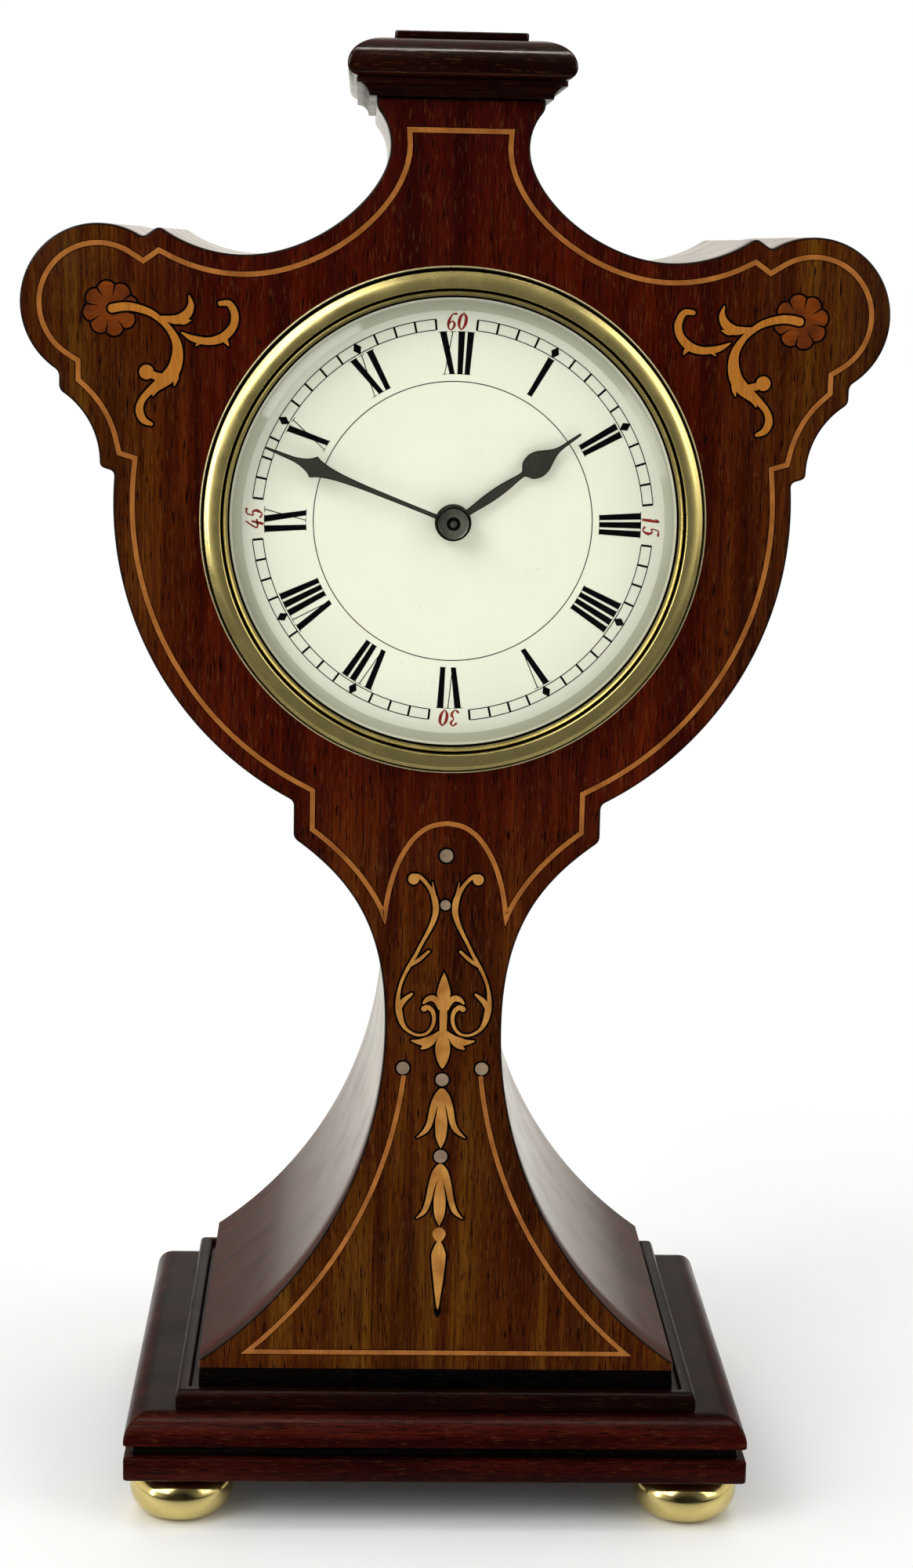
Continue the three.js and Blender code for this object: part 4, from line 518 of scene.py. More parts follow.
WARM_SHEEN = (1.0, 0.92, 0.8, 1.0)
PORE = (16, 4, 3)
PALE_FLECK = (128, 84, 40)
RIBBON = (0.34, 0.5, 0.68)
RED = ((42, 5, 2), (66, 13, 3), (86, 25, 5))
BROWN = ((50, 23, 3), (77, 40, 5), (97, 61, 11))
CRIMSON = ((30, 2, 3), (54, 6, 4), (70, 14, 6))
DARK_RED = ((26, 2, 3), (48, 6, 4), (68, 18, 8))
CAP_RED = ((18, 3, 2), (36, 7, 4), (58, 19, 8))
# Tones of painted shade for the ovolo's top next to the plinth step
SHADED = ((14, 1, 2), (28, 3, 3), (44, 9, 6))
# Tones of painted shade for the plinth step and the cove under the cap
DEEP_SHADE_RED = ((10, 2, 2), (24, 5, 3), (46, 14, 7))
BLACK = ((4, 3, 3), (7, 5, 5), (13, 7, 6))
EDGE_DARK = ((12, 4, 3), (22, 7, 4), (34, 13, 6))
BROWN_TO_RED = (0.075, 0.135)
RED_TO_CRIMSON = (0.2, 0.235)
RED_TO_EAR = (0.04, 0.062)
LYRE_TO_SPRAY = (0.13, 0.16)
# Reach of the painted highlight and painted shade ring on the arbor's end
ARBOR_HIGHLIGHT_REACH = 0.001


def wood(name, grain, tones, gloss, shine, flecks=0.16, depth=0.006, pore=PORE, browner=False, veneer=False):
    """Polished wood with ribbon figure, fibres, flecks and pores along an axis.

    tones are dark, middle and warm; browner gives the foot and the ears a
    browner tone and the top a crimson one; veneer follows the laid sheet's
    own map.
    """
    deep, _, warm = tones
    look = Look(name, shine=shine, veneer=veneer)
    look.set({"Specular Tint": WARM_SHEEN})
    ribbon = look.noise(along(grain, 5, 90), 3.0, 0.5)
    tone = look.ramp(ribbon, RIBBON, tones)
    if browner:
        axes = look.axes(look.place)
        brown = look.ramp(ribbon, RIBBON, BROWN)
        tone = look.mix(look.fade(axes["Z"], *BROWN_TO_RED), brown, tone)
        tone = look.mix(look.fade(axes["Z"], *RED_TO_CRIMSON), tone, look.ramp(ribbon, RIBBON, CRIMSON))
        for ear in (-1, 1):
            inner, outer = (ear * reach for reach in RED_TO_EAR)
            tone = look.mix(look.fade(axes["X"], inner, outer), tone, brown)
    for sizes, detail, distortion, low, high, amount, other in (
        ((30, 30, 40), 2.0, 0.0, 0.42, 0.66, 0.225, warm),
        (along(grain, 1.5, 34), 2.0, 0.4, 0.52, 0.7, 0.7, deep),
        (along(grain, 0.42, 16), 4.0, 0.3, 0.38, 0.64, 0.56, deep),
        (along(grain, 0.27, 2.3), 1.0, 0.2, 0.6, 0.72, flecks, PALE_FLECK),
    ):
        streaks = look.fade(look.noise(sizes, detail, distortion), low, high, 0.0, amount)
        tone = look.mix(streaks, tone, other)
    pores = look.noise(along(grain, 0.24, 3.6), 1.0, 0.3)
    tone = look.mix(look.fade(pores, 0.58, 0.68), tone, pore)
    roughness = look.fade(look.noise((9, 9, 14), 2.0), 0.3, 0.7, gloss - 0.04, gloss + 0.06)
    return look.finish(tone, roughness, look.fade(pores, 0.55, 0.75, 1.0, 0.0), depth)


def metal(name, bright, dull, gloss, grain=2.5, stain=0.35, body=1.0, depth=0.004):
    """Polished metal with faint brushing and tarnish; body below 1 is a satin, hazed surface."""
    look = Look(name, body)
    cloud = look.fade(look.noise(7, 4.0), 0.35, 0.7, 0.0, stain)
    speck = look.fade(look.noise(0.5, 2.0), 0.62, 0.75, 0.0, stain)
    brushed = look.noise(grain)
    tone = look.mix(speck, look.mix(cloud, bright, dull), dull)
    return look.finish(tone, look.fade(brushed, 0.3, 0.7, gloss - 0.05, gloss + 0.08), brushed, depth)


def axis_distance(look):
    """Distance from the dial's axis."""
    inputs = {"Vector": look.place, "Location": (0, 0, -DIAL_Z * MM), "Scale": (1, 0, 1)}
    return look.length(look.add("ShaderNodeMapping", inputs).outputs["Vector"])


def arbor_highlight_look(name, bright, dark):
    """Steel arbor end with a painted highlight in its middle and a ring of painted shade round it."""
    look = Look(name, 1.0)
    ring = look.ramp(look.fade(axis_distance(look), 0, ARBOR_HIGHLIGHT_REACH), (0.52, 0.64), (bright, dark))
    speck = look.noise(0.4, 2.0)
    tone = look.mix(look.fade(speck, 0.55, 0.7, 0.0, 0.4), ring, dark)
    return look.finish(tone, look.fade(speck, 0.3, 0.7, 0.18, 0.34), speck, 0.003)


def spun(name, bright, dull):
    """Brass turned on a lathe: fine rings round the dial's axis."""
    look = Look(name, 1.0)
    inputs = {"W": axis_distance(look), "Scale": 1 / (0.3 * MM), "Detail": 4.0}
    lines = look.add("ShaderNodeTexNoise", inputs, noise_dimensions="1D").outputs["Fac"]
    cloud = look.fade(look.noise(14, 4.0), 0.35, 0.7, 0.0, 0.6)
    tone = look.mix(look.fade(lines, 0.4, 0.7, 0.0, 0.4), look.mix(cloud, bright, dull), dull)
    return look.finish(tone, look.fade(lines, 0.3, 0.7, 0.2, 0.36), lines, 0.006)


def inlay(name, light, dark, grain, upper=None):
    """Pale inlaid wood with fine grain; upper has the tones of the sprays in the ears."""
    look = Look(name, shine=0.2)
    cloud = look.fade(look.noise(4, 2.0), 0.35, 0.68)
    lines = look.fade(look.noise(along(grain, 0.3, 6), 2.0), 0.42, 0.7, 0.0, 0.5)
    tone = look.mix(lines, look.mix(cloud, light, dark), dark)
    if upper:
        rise = look.fade(look.axes(look.place)["Z"], *LYRE_TO_SPRAY)
        tone = look.mix(rise, tone, look.mix(lines, *upper))
    return look.finish(tone, look.fade(cloud, 0.0, 1.0, 0.17, 0.28), lines, 0.006)


def enamel_look(name, pale, deep, spot):
    """Enamel with soft clouds, a few specks and a slight ripple."""
    look = Look(name)
    cloud = look.fade(look.noise(22, 2.0), 0.35, 0.65)
    speck = look.fade(look.noise(0.35, 0.0), 0.78, 0.84, 0.0, 0.35)
    ripple = look.noise(3, 1.0)
    tone = look.mix(speck, look.mix(cloud, pale, deep), spot)
    return look.finish(tone, look.fade(ripple, 0.3, 0.7, 0.12, 0.2), ripple, 0.004)


def print_look(name, dark, pale):
    """Matt print, worn in spots."""
    look = Look(name, shine=0.0)
    worn = look.fade(look.noise(0.6, 2.0), 0.45, 0.75)
    return look.finish(look.mix(worn, dark, pale), look.fade(worn, 0.0, 1.0, 0.25, 0.5), worn, 0.003)


def glass_look(name, tint, blur):
    """Glass that light passes without a shadow."""
    look = Look(name)
    roughness = look.fade(look.noise(18, 2.0), 0.4, 0.7, blur, blur + 0.02)
    look.set({"Base Color": tint, "Transmission Weight": 1.0, "IOR": 1.46, "Roughness": roughness})
    clear = look.add("ShaderNodeBsdfTransparent").outputs[0]
    look.show(look.blend(look.any_ray("Is Shadow Ray", "Is Diffuse Ray"), look.shader.outputs[0], clear))
    return look.material


mahogany_up = wood("mahogany_upright_grain", "z", RED, 0.17, 0.15, browner=True)
mahogany_side = wood("mahogany_sides", "y", RED, 0.12, 0.16, 0.1, 0.002, veneer=True)
mahogany_back = wood("mahogany_back", "z", RED, 0.3, 0.16)
mahogany_cross = wood("mahogany_cross_grain", "x", DARK_RED, 0.26, 0.07, 0.12)
mahogany_cap = wood("mahogany_cap", "x", CAP_RED, 0.16, 0.35, 0.12)
# Painted shade: darker wood on the ovolo's top next to the plinth step
mahogany_shaded = wood("mahogany_shaded", "x", SHADED, 0.28, 0.07, 0.08)
# Painted shade: darker wood for the plinth step and the cove under the cap
mahogany_painted_deep_shade = wood("mahogany_painted_deep_shade", "x", DEEP_SHADE_RED, 0.26, 0.1, 0.06)
# Near-black wood for the groove strip and the plinth fillet: painted shade, and painted dark reflection on
# the fillet
shade_black_wood = wood("near_black_painted_shade", "x", BLACK, 0.24, 0.08, 0.03, pore=(3, 3, 3))
# Darker wood on the front board's eased edge
darker_edge_wood = wood("darker_edge_wood", "z", EDGE_DARK, 0.3, 0.2, 0.1)
boxwood = inlay("boxwood_string", (168, 105, 48), (134, 78, 30), "z")
SPRAY_TONES = ((172, 108, 38), (132, 76, 20))
satinwood = inlay("satinwood_marquetry", (190, 136, 66), (148, 94, 36), "z", SPRAY_TONES)
amboyna = inlay("amboyna_flower", (122, 58, 14), (80, 33, 8), "x")
# Dark lines round the inlays: joint lines with painted shade
joint_shade_look = inlay("dark_joint_and_painted_shade", (10, 5, 4), (5, 3, 3), "z")
pearl = inlay("grey_pearl_dot", (148, 126, 104), (118, 100, 82), "x")
brass = metal("polished_brass", (220, 202, 134), (172, 150, 86), 0.15)
# Painted highlight: pale brass on the bezel's outer bead
bead_highlight_brass = metal("brass_bead_painted_highlight", (244, 230, 172), (204, 184, 116), 0.3, stain=0.1, body=0.55)
bezel_brass = metal("aged_brass_bezel", (228, 210, 134), (176, 152, 80), 0.24, 5, 0.12, 0.86, 0.002)
# Painted shade: near-black brass in the bezel's grooves and gaps and on the collet's rim
groove_painted_shade = metal("painted_shade_in_grooves", (22, 17, 10), (10, 8, 5), 0.5)
plate_brass = metal("brushed_brass", (198, 168, 92), (160, 130, 64), 0.3, (0.25, 0.25, 6))
spun_brass = spun("spun_brass", (204, 174, 98), (158, 126, 60))
steel = metal("polished_steel", (176, 178, 180), (132, 134, 136), 0.25)
collet_steel = metal("worn_collet_steel", (138, 138, 124), (28, 28, 24), 0.38, stain=0.95, body=0.6)
dark_steel = metal("dark_steel", (62, 63, 52), (42, 42, 35), 0.42, stain=0.5, body=0.4)
edge_steel = metal("dark_steel_edge", (26, 26, 22), (14, 14, 12), 0.4, stain=0.5)
# Painted highlight and painted shade ring on the arbor's end
arbor_steel_painted_highlight = arbor_highlight_look("arbor_steel_painted_highlight", (206, 206, 196), (26, 26, 22))
enamel = enamel_look("dial_enamel", (252, 254, 232), (247, 249, 226), (196, 190, 160))
black_print = print_look("black_dial_print", (6, 6, 8), (16, 15, 14))
red_print = print_look("red_dial_print", (136, 36, 30), (164, 74, 62))
glass_clear = glass_look("dial_glass", (255, 255, 255), 0.0)
# Grey tint on the bevel: painted shade for the darkening that its refraction shows
glass_bevel_painted_shade = glass_look("bevelled_glass_edge_painted_shade", (180, 184, 170), 0.05)


# CAD nodes that stay in view: smooth by angle and a finish by slot
def smooth_group():
    """Geometry nodes that join the mesh, smooth it and keep its hard edges."""
    group = bpy.data.node_groups.new("smooth_by_angle", "GeometryNodeTree")
    for way in ("INPUT", "OUTPUT"):
        group.interface.new_socket("Geometry", in_out=way, socket_type="NodeSocketGeometry")
    nodes = Nodes(group)
    angle = nodes.add("GeometryNodeInputMeshEdgeAngle").outputs["Unsigned Angle"]
    test = nodes.add("FunctionNodeCompare", {0: angle, 1: radians(SHARP_DEGREES)}, operation="GREATER_THAN")
    mesh = nodes.add("NodeGroupInput").outputs[0]
    for kind, inputs, settings in (
        ("RemoveAttribute", {"Name": "custom_normal"}, {}),
        ("MergeByDistance", {"Distance": 0.001 * MM}, {}),
        ("SetShadeSmooth", {}, {}),
        ("SetShadeSmooth", {"Selection": test.outputs["Result"], "Shade Smooth": False}, {"domain": "EDGE"}),
    ):
        mesh = nodes.add("GeometryNode" + kind, {"Geometry": mesh, **inputs}, **settings).outputs["Geometry"]
    nodes.add("NodeGroupOutput", {0: mesh})
    return group


SLOT_LOOKS = {
    "mahogany": mahogany_cross,
    "dark_wood": shade_black_wood,
    "brass": plate_brass,
    "steel": steel,
    "dark_steel": dark_steel,
    "enamel": enamel,
    "glass": glass_clear,
}
OWN_LOOKS = {"rear_ring": spun_brass, "rear_door": spun_brass, "centre_arbor": arbor_steel_painted_highlight}
smooth_by_angle = smooth_group()
node_slots = {row["node"]: row["material_slot"] for row in frame["record"]["subparts"]}
for name, node in frame["nodes"].items():
    for holder in node.material_slots:
        holder.material = OWN_LOOKS.get(name, SLOT_LOOKS[node_slots[name]])
    node.modifiers.new("smooth", "NODES").node_group = smooth_by_angle


def hole_radius(node):
    """Radius of the hole round the dial's axis in a CAD node."""
    places = [vert.co / MM for vert in frame["nodes"][node].data.vertices]
    return min(hypot(place.x, place.z - DIAL_Z) for place in places)


# Boards and core of the case
CORNER_SOFT = 0.9
CORNER_TURN = 24
CORNER_MARGIN = 1
EDGE = 0.35
EDGE_BREAK = EDGE * 0.3
SCREW_HOLE = 1.1


def near_corner(places, corner, way, reach):
    """Place on a closed path at a distance before or after a corner."""
    step = corner
    while (places[(step + way) % len(places)] - places[corner]).length < reach:
        step += way
    near = places[step % len(places)]
    far = places[(step + way) % len(places)]
    first, last = ((place - places[corner]).length for place in (near, far))
    return near.lerp(far, (reach - first) / (last - first))


def softened(points, reach, steps=5):
    """Closed outline whose sharp corners, away from the foot and the top, are cut back and rounded."""
    places = [Vector(place) for place in points]
    corners = []
    for index, place in enumerate(places):
        turn = (place - places[index - 1]).angle(places[(index + 1) % len(places)] - place)
        if turn > radians(CORNER_TURN) and CORNER_MARGIN < place.y < TOP_RISE - CORNER_MARGIN:
            corners.append(index)
    kept = []
    for index, place in enumerate(places):
        if index in corners:
            before, after = (near_corner(places, index, way, reach) for way in (-1, 1))
            for t in (step / steps for step in range(steps + 1)):
                kept.append(before * (1 - t) ** 2 + place * 2 * t * (1 - t) + after * t * t)
        elif all((place - places[corner]).length > reach for corner in corners):
            kept.append(place)
    return [tuple(place) for place in kept]


square_outline = mirrored(case_half())
outline = softened(square_outline, CORNER_SOFT)


def board(name, node, rings, looks, ring_looks, holes=()):
    """Board of the balloon outline: rings of (inset, depth), the dial's hole and others."""
    bm = bmesh.new()
    outer = []
    for inset, depth in rings:
        loop = offset(outline, inset) if inset else outline
        loop = [(x, rise if old > NEAR_AXIS else 0.0) for (x, rise), (_, old) in zip(loop, outline)]
        outer.append(add_loop(bm, raised(loop), depth))
    sides = (dist(here, after) * MM for here, after in zip(outline, outline[1:] + outline[:1]))
    lengths = list(itertools.accumulate(sides, initial=0.0))
    veneer = bm.loops.layers.uv.new("veneer")
    for index, look in enumerate(ring_looks):
        near, far = (depth * MM for inset, depth in rings[index : index + 2])
        for face, start, stop in zip(bridge(bm, *outer[index : index + 2], look), lengths, lengths[1:]):
            for corner, place in zip(face.loops, ((near, start), (near, stop), (far, stop), (far, start))):
                corner[veneer].uv = place
    ends = []
    for _, depth in (rings[0], rings[-1]):
        ends.append([add_loop(bm, raised(hole), depth) for hole in (circle(hole_radius(node)), *holes)])
    for near, far in zip(*ends):
        bridge(bm, near, far)
    cap(bm, outer[0], *ends[0])
    cap(bm, outer[-1], *ends[1])
    add_piece(name, bm, looks, "mahogany", node)


front_rings = [(EDGE, FACE), (EDGE_BREAK, FACE + EDGE_BREAK), (0, FACE + EDGE), (0, panel_high.y)]
front_looks = [mahogany_up, darker_edge_wood, mahogany_side]
board("front_board_veneered", "front_panel", front_rings, front_looks, [1, 1, 2])
board("case_carcase", "case_core", [(0, core_low.y), (0, core_high.y)], [mahogany_side], [0])
rear_rings = [(0, rear_low.y), (0, rear_high.y - EDGE), (EDGE, rear_high.y)]
screw_holes = []
for screw in ("strap_screw_top", "strap_screw_bottom"):
    low, high = span(screw)
    screw_holes.append(circle(SCREW_HOLE, 24, (0, (low.z + high.z) / 2 - FOOT)))
board("back_board", "back_panel", rear_rings, [mahogany_back, mahogany_side], [1, 1], screw_holes)

# Mouldings on a rectangular plan
BLOCK_CORNER = 0.5
OVOLO_RADIUS = 4.4
OVOLO_SHADE_STEPS = 4
STEP_EASE = 0.35
STEP_RISE = 1.0
STEP_NOSE = 1.1
STEP_BACK = 0.6
STEP_BACK_INSET = 2.0
FILLET_RIM = 1.3
FILLET_SEAT = 0.03
COVE = (2.1, 2.0)
CUSHION_FOOT = 1.8
CUSHION_TOP = (6.2, 4.4)
PAD_LOWER = 0.35
PAD_EASE = 0.3
SLAB_EASE = 0.5
STRIP_EASE = 0.1
ARRIS = 0.2


def levels(node):
    """Lowest and highest level of a CAD node."""
    low, high = span(node)
    return low.z, high.z


def moulded(name, node, profile, slot, *looks):
    """Block on a rectangular plan with a profile of (overhang, z) round it."""
    bm = bmesh.new()
    _, high = span(node)
    reach = max(place[0] for place in profile) + BLOCK_CORNER
    rings = []
    for overhang, z, *rest in profile:
        x, y = (half - reach + overhang for half in high[:2])
        ring = []
        for quarter, middle in enumerate(((x, y), (-x, y), (-x, -y), (x, -y))):
            turns = [radians(90 * quarter + 22.5 * step) for step in range(5)]
            ring += [(*polar(middle, BLOCK_CORNER, turn), z) for turn in turns]
        rings.append(add_ring(bm, ring))
    stretches = looks_along(profile)
    for first, second, look in zip(rings, rings[1:], stretches):
        bridge(bm, first, second, look)
    cap(bm, rings[0])
    cap(bm, rings[-1], look=stretches[-1])
    add_piece(name, bm, looks, slot, node)


def eased(low, high, ease):
    """Square-edged profile with softened edges."""
    lower = round_profile((-ease, low + ease), ease, -90, 0, 3)
    return lower + round_profile((-ease, high - ease), ease, 0, 90, 3)


ovolo_low, ovolo_high = levels("base_ovolo")
nose = round_profile((-OVOLO_RADIUS, ovolo_high - OVOLO_RADIUS), OVOLO_RADIUS, 0, 90, 14)
# The top steps of the nose, next to the plinth step, take the painted shade look
nose[-OVOLO_SHADE_STEPS:] = [(*place, 1) for place in nose[-OVOLO_SHADE_STEPS:]]
ovolo = [(-ARRIS, ovolo_low), (0, ovolo_low + ARRIS), *nose]
step_low, step_high = levels("plinth_step")
bead_top = step_high + STEP_RISE
bead = [
    *eased(step_low, step_high, STEP_EASE)[:4],
    *round_profile((-STEP_NOSE, bead_top - STEP_NOSE), STEP_NOSE, 0, 90, 6),
    *round_profile((-STEP_BACK_INSET, bead_top - STEP_BACK), STEP_BACK, 90, 180, 4),
    (-STEP_BACK_INSET - STEP_BACK, step_high),
]
fillet_low, fillet_high = levels("plinth_fillet")
fillet = eased(fillet_low, FOOT - FILLET_SEAT, FILLET_SEAT)
fillet[4:] = [(0, fillet_high - FILLET_RIM, 1), *((*place, 1) for place in fillet[4:])]
cove_low, cove_high = levels("cap_moulding")
cove = [*round_profile((0, cove_low), COVE, 180, 90, 10), (0, cove_high - ARRIS), (-ARRIS, cove_high)]
cushion_low, cushion_high = levels("cap_cushion")
cushion = [
    *round_profile((-CUSHION_FOOT, cushion_low + CUSHION_FOOT), CUSHION_FOOT, -90, 0, 8),
    *round_profile((-CUSHION_TOP[0], cushion_high - CUSHION_TOP[1]), CUSHION_TOP, 0, 90, 14),
]
pad_low, pad_high = levels("cap_pad")
pad = eased(pad_low, pad_high - PAD_LOWER, PAD_EASE)
slab = eased(*levels("base_slab"), SLAB_EASE)
strip = eased(*levels("base_groove_strip"), STRIP_EASE)
moulded("base_lower_slab", "base_slab", slab, "mahogany", mahogany_cross)
# The near-black strip in the groove under the ovolo is painted shade
moulded("base_black_strip", "base_groove_strip", strip, "dark_wood", shade_black_wood)
moulded("base_ovolo_moulding", "base_ovolo", ovolo, "mahogany", mahogany_cross, mahogany_shaded)
# The plinth step and the cap's cove below are painted dark: painted shade
moulded("plinth_step_moulding", "plinth_step", bead, "mahogany", mahogany_painted_deep_shade)
# The fillet's near-black front is painted shade and painted dark reflection; its top rim is plain wood
moulded("plinth_dark_fillet", "plinth_fillet", fillet, "dark_wood", shade_black_wood, mahogany_up)
moulded("cap_cove_moulding", "cap_moulding", cove, "mahogany", mahogany_painted_deep_shade)
moulded("cap_cushion_moulding", "cap_cushion", cushion, "mahogany", mahogany_cap)
moulded("cap_top_pad", "cap_pad", pad, "mahogany", mahogany_cap)

# Turned brass bun feet
FOOT_PAD_RADIUS = 4.65
FOOT_BELLY = 4.8
FOOT_COLLAR_RADIUS = 6.7
FOOT_COLLAR_HEIGHT = 1.0
for end, side in itertools.product(("front", "rear"), ("left", "right")):
    low, high = span(f"foot_{end}_{side}")
    radius = (high.x - low.x) / 2
    lower = (radius - FOOT_PAD_RADIUS, FOOT_BELLY - low.z)
    upper = (radius - FOOT_COLLAR_RADIUS, high.z - FOOT_COLLAR_HEIGHT - FOOT_BELLY)
    bun = [
        *round_profile((FOOT_PAD_RADIUS, FOOT_BELLY), lower, -90, 0, 12),
        *round_profile((FOOT_COLLAR_RADIUS, FOOT_BELLY), upper, 0, 90, 12)[1:],
        (FOOT_COLLAR_RADIUS, high.z),
    ]
    bm = bmesh.new()
    add_turned(bm, bun, 64, ((low.x + high.x) / 2, (low.y + high.y) / 2), upright=True, closed=False)
    add_piece(f"bun_foot_{end}_{side}", bm, [brass], "brass", f"foot_{end}_{side}")

# Strings of boxwood, flush in the front board with a dark line round them, a joint line with painted shade
INLAY_FRONT = FACE - 0.05
INLAY_BACK = FACE + 0.15
OUTLINE_FRONT = FACE - 0.025
# Width of the dark outline round inlays: joint line with painted shade
OUTLINE_WIDTH = 0.36
STRING_HALF = 0.42
STRING_OUTLINE = 0.13
STRING_INSET = 3.2
STRING_SPACING = 0.9
FLARE_STRING_INSET = 3.9
FLARE_STRING_TOP = 52.8
FLARE_STRING_FOOT = 1.67
NECK_STRING_RISE = 213.5
ARCH = [
    (0, 97.73), (2.78, 97.18), (5.15, 95.56), (6.98, 93.2), (8.57, 90.0), (9.65, 86.4), (10.2, 83.4),
    (10.5, 80.9),
]


def upper_string():
    """Closed path parallel to the outline, with an arch over the lyre and a line across the neck."""
    inside = clear_of(offset(square_outline, STRING_INSET, limit=4.0), square_outline, STRING_INSET)
    right = [(x, rise) for x, rise in inside if x > 0 and ARCH[-1][1] < rise < NECK_STRING_RISE]
    half = [*spline(ARCH, 6), *right[1:], (right[-1][0], NECK_STRING_RISE)]
    return mirrored(thinned(half, STRING_SPACING))


def flare_string():
    """Open path down both flares and along the foot."""
    centre_x = WAIST_HALF + upright_radius(FLARE_HALF - WAIST_HALF, WAIST_RISE)
    radius = centre_x - WAIST_HALF + FLARE_STRING_INSET
    steps = 40
    right = []
    for step in range(steps + 1):
        rise = FLARE_STRING_TOP + (FLARE_STRING_FOOT - FLARE_STRING_TOP) * step / steps
        right.append((centre_x - sqrt(radius**2 - (WAIST_RISE - rise) ** 2), rise))
    return mirrored(right)


strings = bmesh.new()
joint_shade_lines = bmesh.new()
for path, closed in ((raised(upper_string()), True), (raised(flare_string()), False)):
    add_string(strings, path, STRING_HALF, INLAY_FRONT, INLAY_BACK, closed)
    add_string(joint_shade_lines, path, STRING_HALF + STRING_OUTLINE, OUTLINE_FRONT, INLAY_BACK, closed)
add_piece("boxwood_stringing", strings, [boxwood], "mahogany")

# Marquetry, right half as (x, rise, width) strokes and (x, rise) leaves
LYRE = [
    (5.45, 88.35, 0.75), (4.85, 88.45, 0.7), (4.1, 87.95, 0.62), (3.07, 86.76, 0.62), (2.27, 85.4, 0.85),
    (1.76, 83.75, 1.05), (1.7, 81.95, 0.98), (2.2, 80.15, 0.8), (3.09, 78.2, 0.62), (4.05, 76.37, 0.54),
    (5.0, 74.4, 0.56), (6.11, 72.43, 0.62), (7.0, 70.6, 0.52), (7.65, 68.63, 0.5), (7.92, 66.5, 0.74),
    (7.74, 64.52, 1.1), (7.25, 62.53, 0.86), (6.35, 61.1, 0.56), (4.8, 60.2, 0.42), (3.4, 60.2, 0.44),
    (2.4, 60.85, 0.5), (1.75, 62.08, 0.56), (1.62, 63.45, 0.64), (2.0, 64.55, 0.74), (2.75, 65.1, 0.84),
    (3.4, 64.85, 0.95),
]
LYRE_BALL = (5.56, 87.9, 0.95)
LEAVES = [
    [(1.5, 83.2, 0.5), (1.95, 85.2, 0.5), (2.3, 87.4, 0.1)],
    [(5.9, 72.6, 0.5), (4.4, 73.6, 0.62), (2.75, 75.1, 0.45)],
    [(7.7, 65.0, 0.9), (6.9, 66.3, 0.85), (5.6, 67.45, 0.45)],
    [(0.7, 64.9, 0.5), (1.1, 66.1, 0.95), (1.9, 66.75, 1.05), (2.8, 66.55, 0.85), (3.45, 65.9, 0.4)],
    [(0.75, 60.6, 0.5), (1.7, 59.6, 1.2), (3.0, 58.95, 1.5), (4.2, 58.9, 0.9), (5.4, 59.1, 0.25)],
    [(0.9, 60.4, 0.4), (1.9, 59.0, 1.0), (2.9, 58.2, 1.0), (3.7, 57.7, 0.3)],
]
FLEUR = [
    (0, 71.4), (0.5, 70.2), (1.0, 68.6), (1.15, 67.4), (0.85, 66.4), (0.62, 65.2), (0.66, 63.4), (0.6, 61.6),
    (0.75, 60.2), (1.15, 58.8), (1.26, 57.4), (0.95, 55.8), (0.4, 54.6), (0, 54.1),
]
HUSKS = [(49.97, 46.44, 41.66, 39.59, 4.2), (36.2, 32.2, 26.84, 25.3, 4.05)]
DROP = [
    (0, 25.1), (0.75, 24.75), (1.16, 23.9), (0.8, 22.95), (0.36, 22.45), (0.75, 21.6), (1.2, 20.3),
    (1.24, 19.3), (1.04, 17.1), (0.6, 13.3), (0.2, 10.3), (0, 9.8),
]
DROP_TIP = [(0, 9.85), (0.22, 10.1), (0.3, 9.4), (0, 8.8)]
DOTS = [(0, 92.05, 1.15), (0, 83.35, 0.88), (6.87, 54.15, 1.13), (0, 52.1, 1.13), (0, 38.13, 1.17)]
SPRAY_STROKES = [
    [(57.0, 183.71, 1.4), (55.12, 184.04, 1.35), (53.34, 183.93, 1.25), (50.97, 183.24, 1.1),
     (49.19, 182.1, 0.95), (47.71, 180.66, 1.0), (46.52, 178.63, 1.35), (46.22, 176.57, 1.75),
     (46.66, 174.3, 2.1), (47.7, 172.75, 2.2), (49.19, 171.49, 1.8), (50.97, 170.12, 1.15),
     (52.17, 168.62, 1.05), (52.53, 166.98, 1.25), (51.87, 165.51, 1.1), (50.6, 164.85, 0.6)],
    [(49.8, 182.4, 0.5), (47.9, 182.15, 1.0), (46.2, 182.1, 1.5), (44.8, 182.9, 1.5), (44.05, 184.4, 1.0),
     (44.35, 186.0, 0.2)],
    [(46.4, 182.0, 0.9), (45.2, 181.75, 0.9), (44.1, 182.0, 0.2)],
    [(45.5, 179.95, 0.25), (43.6, 179.0, 1.0), (41.0, 178.65, 1.2), (38.8, 179.3, 1.4), (37.15, 181.0, 1.25),
     (36.8, 183.0, 1.2), (37.7, 184.8, 1.0), (39.2, 184.85, 0.75)],
    [(41.8, 178.9, 0.6), (42.6, 178.4, 0.6), (43.2, 177.85, 0.15)],
    [(38.8, 179.2, 0.9), (38.2, 178.6, 0.7), (37.8, 177.95, 0.15)],
    [(48.6, 172.4, 1.5), (50.2, 172.9, 1.2), (51.0, 173.3, 1.6)],
    [(46.7, 174.0, 1.2), (46.5, 172.6, 0.9), (46.75, 171.3, 0.2)],
    [(49.2, 171.3, 1.3), (49.9, 170.4, 0.8), (50.3, 169.5, 0.15)],
]
SPRAY_BALL = (51.35, 173.4, 1.2)
LAYER = 0.0015
layers = itertools.count()


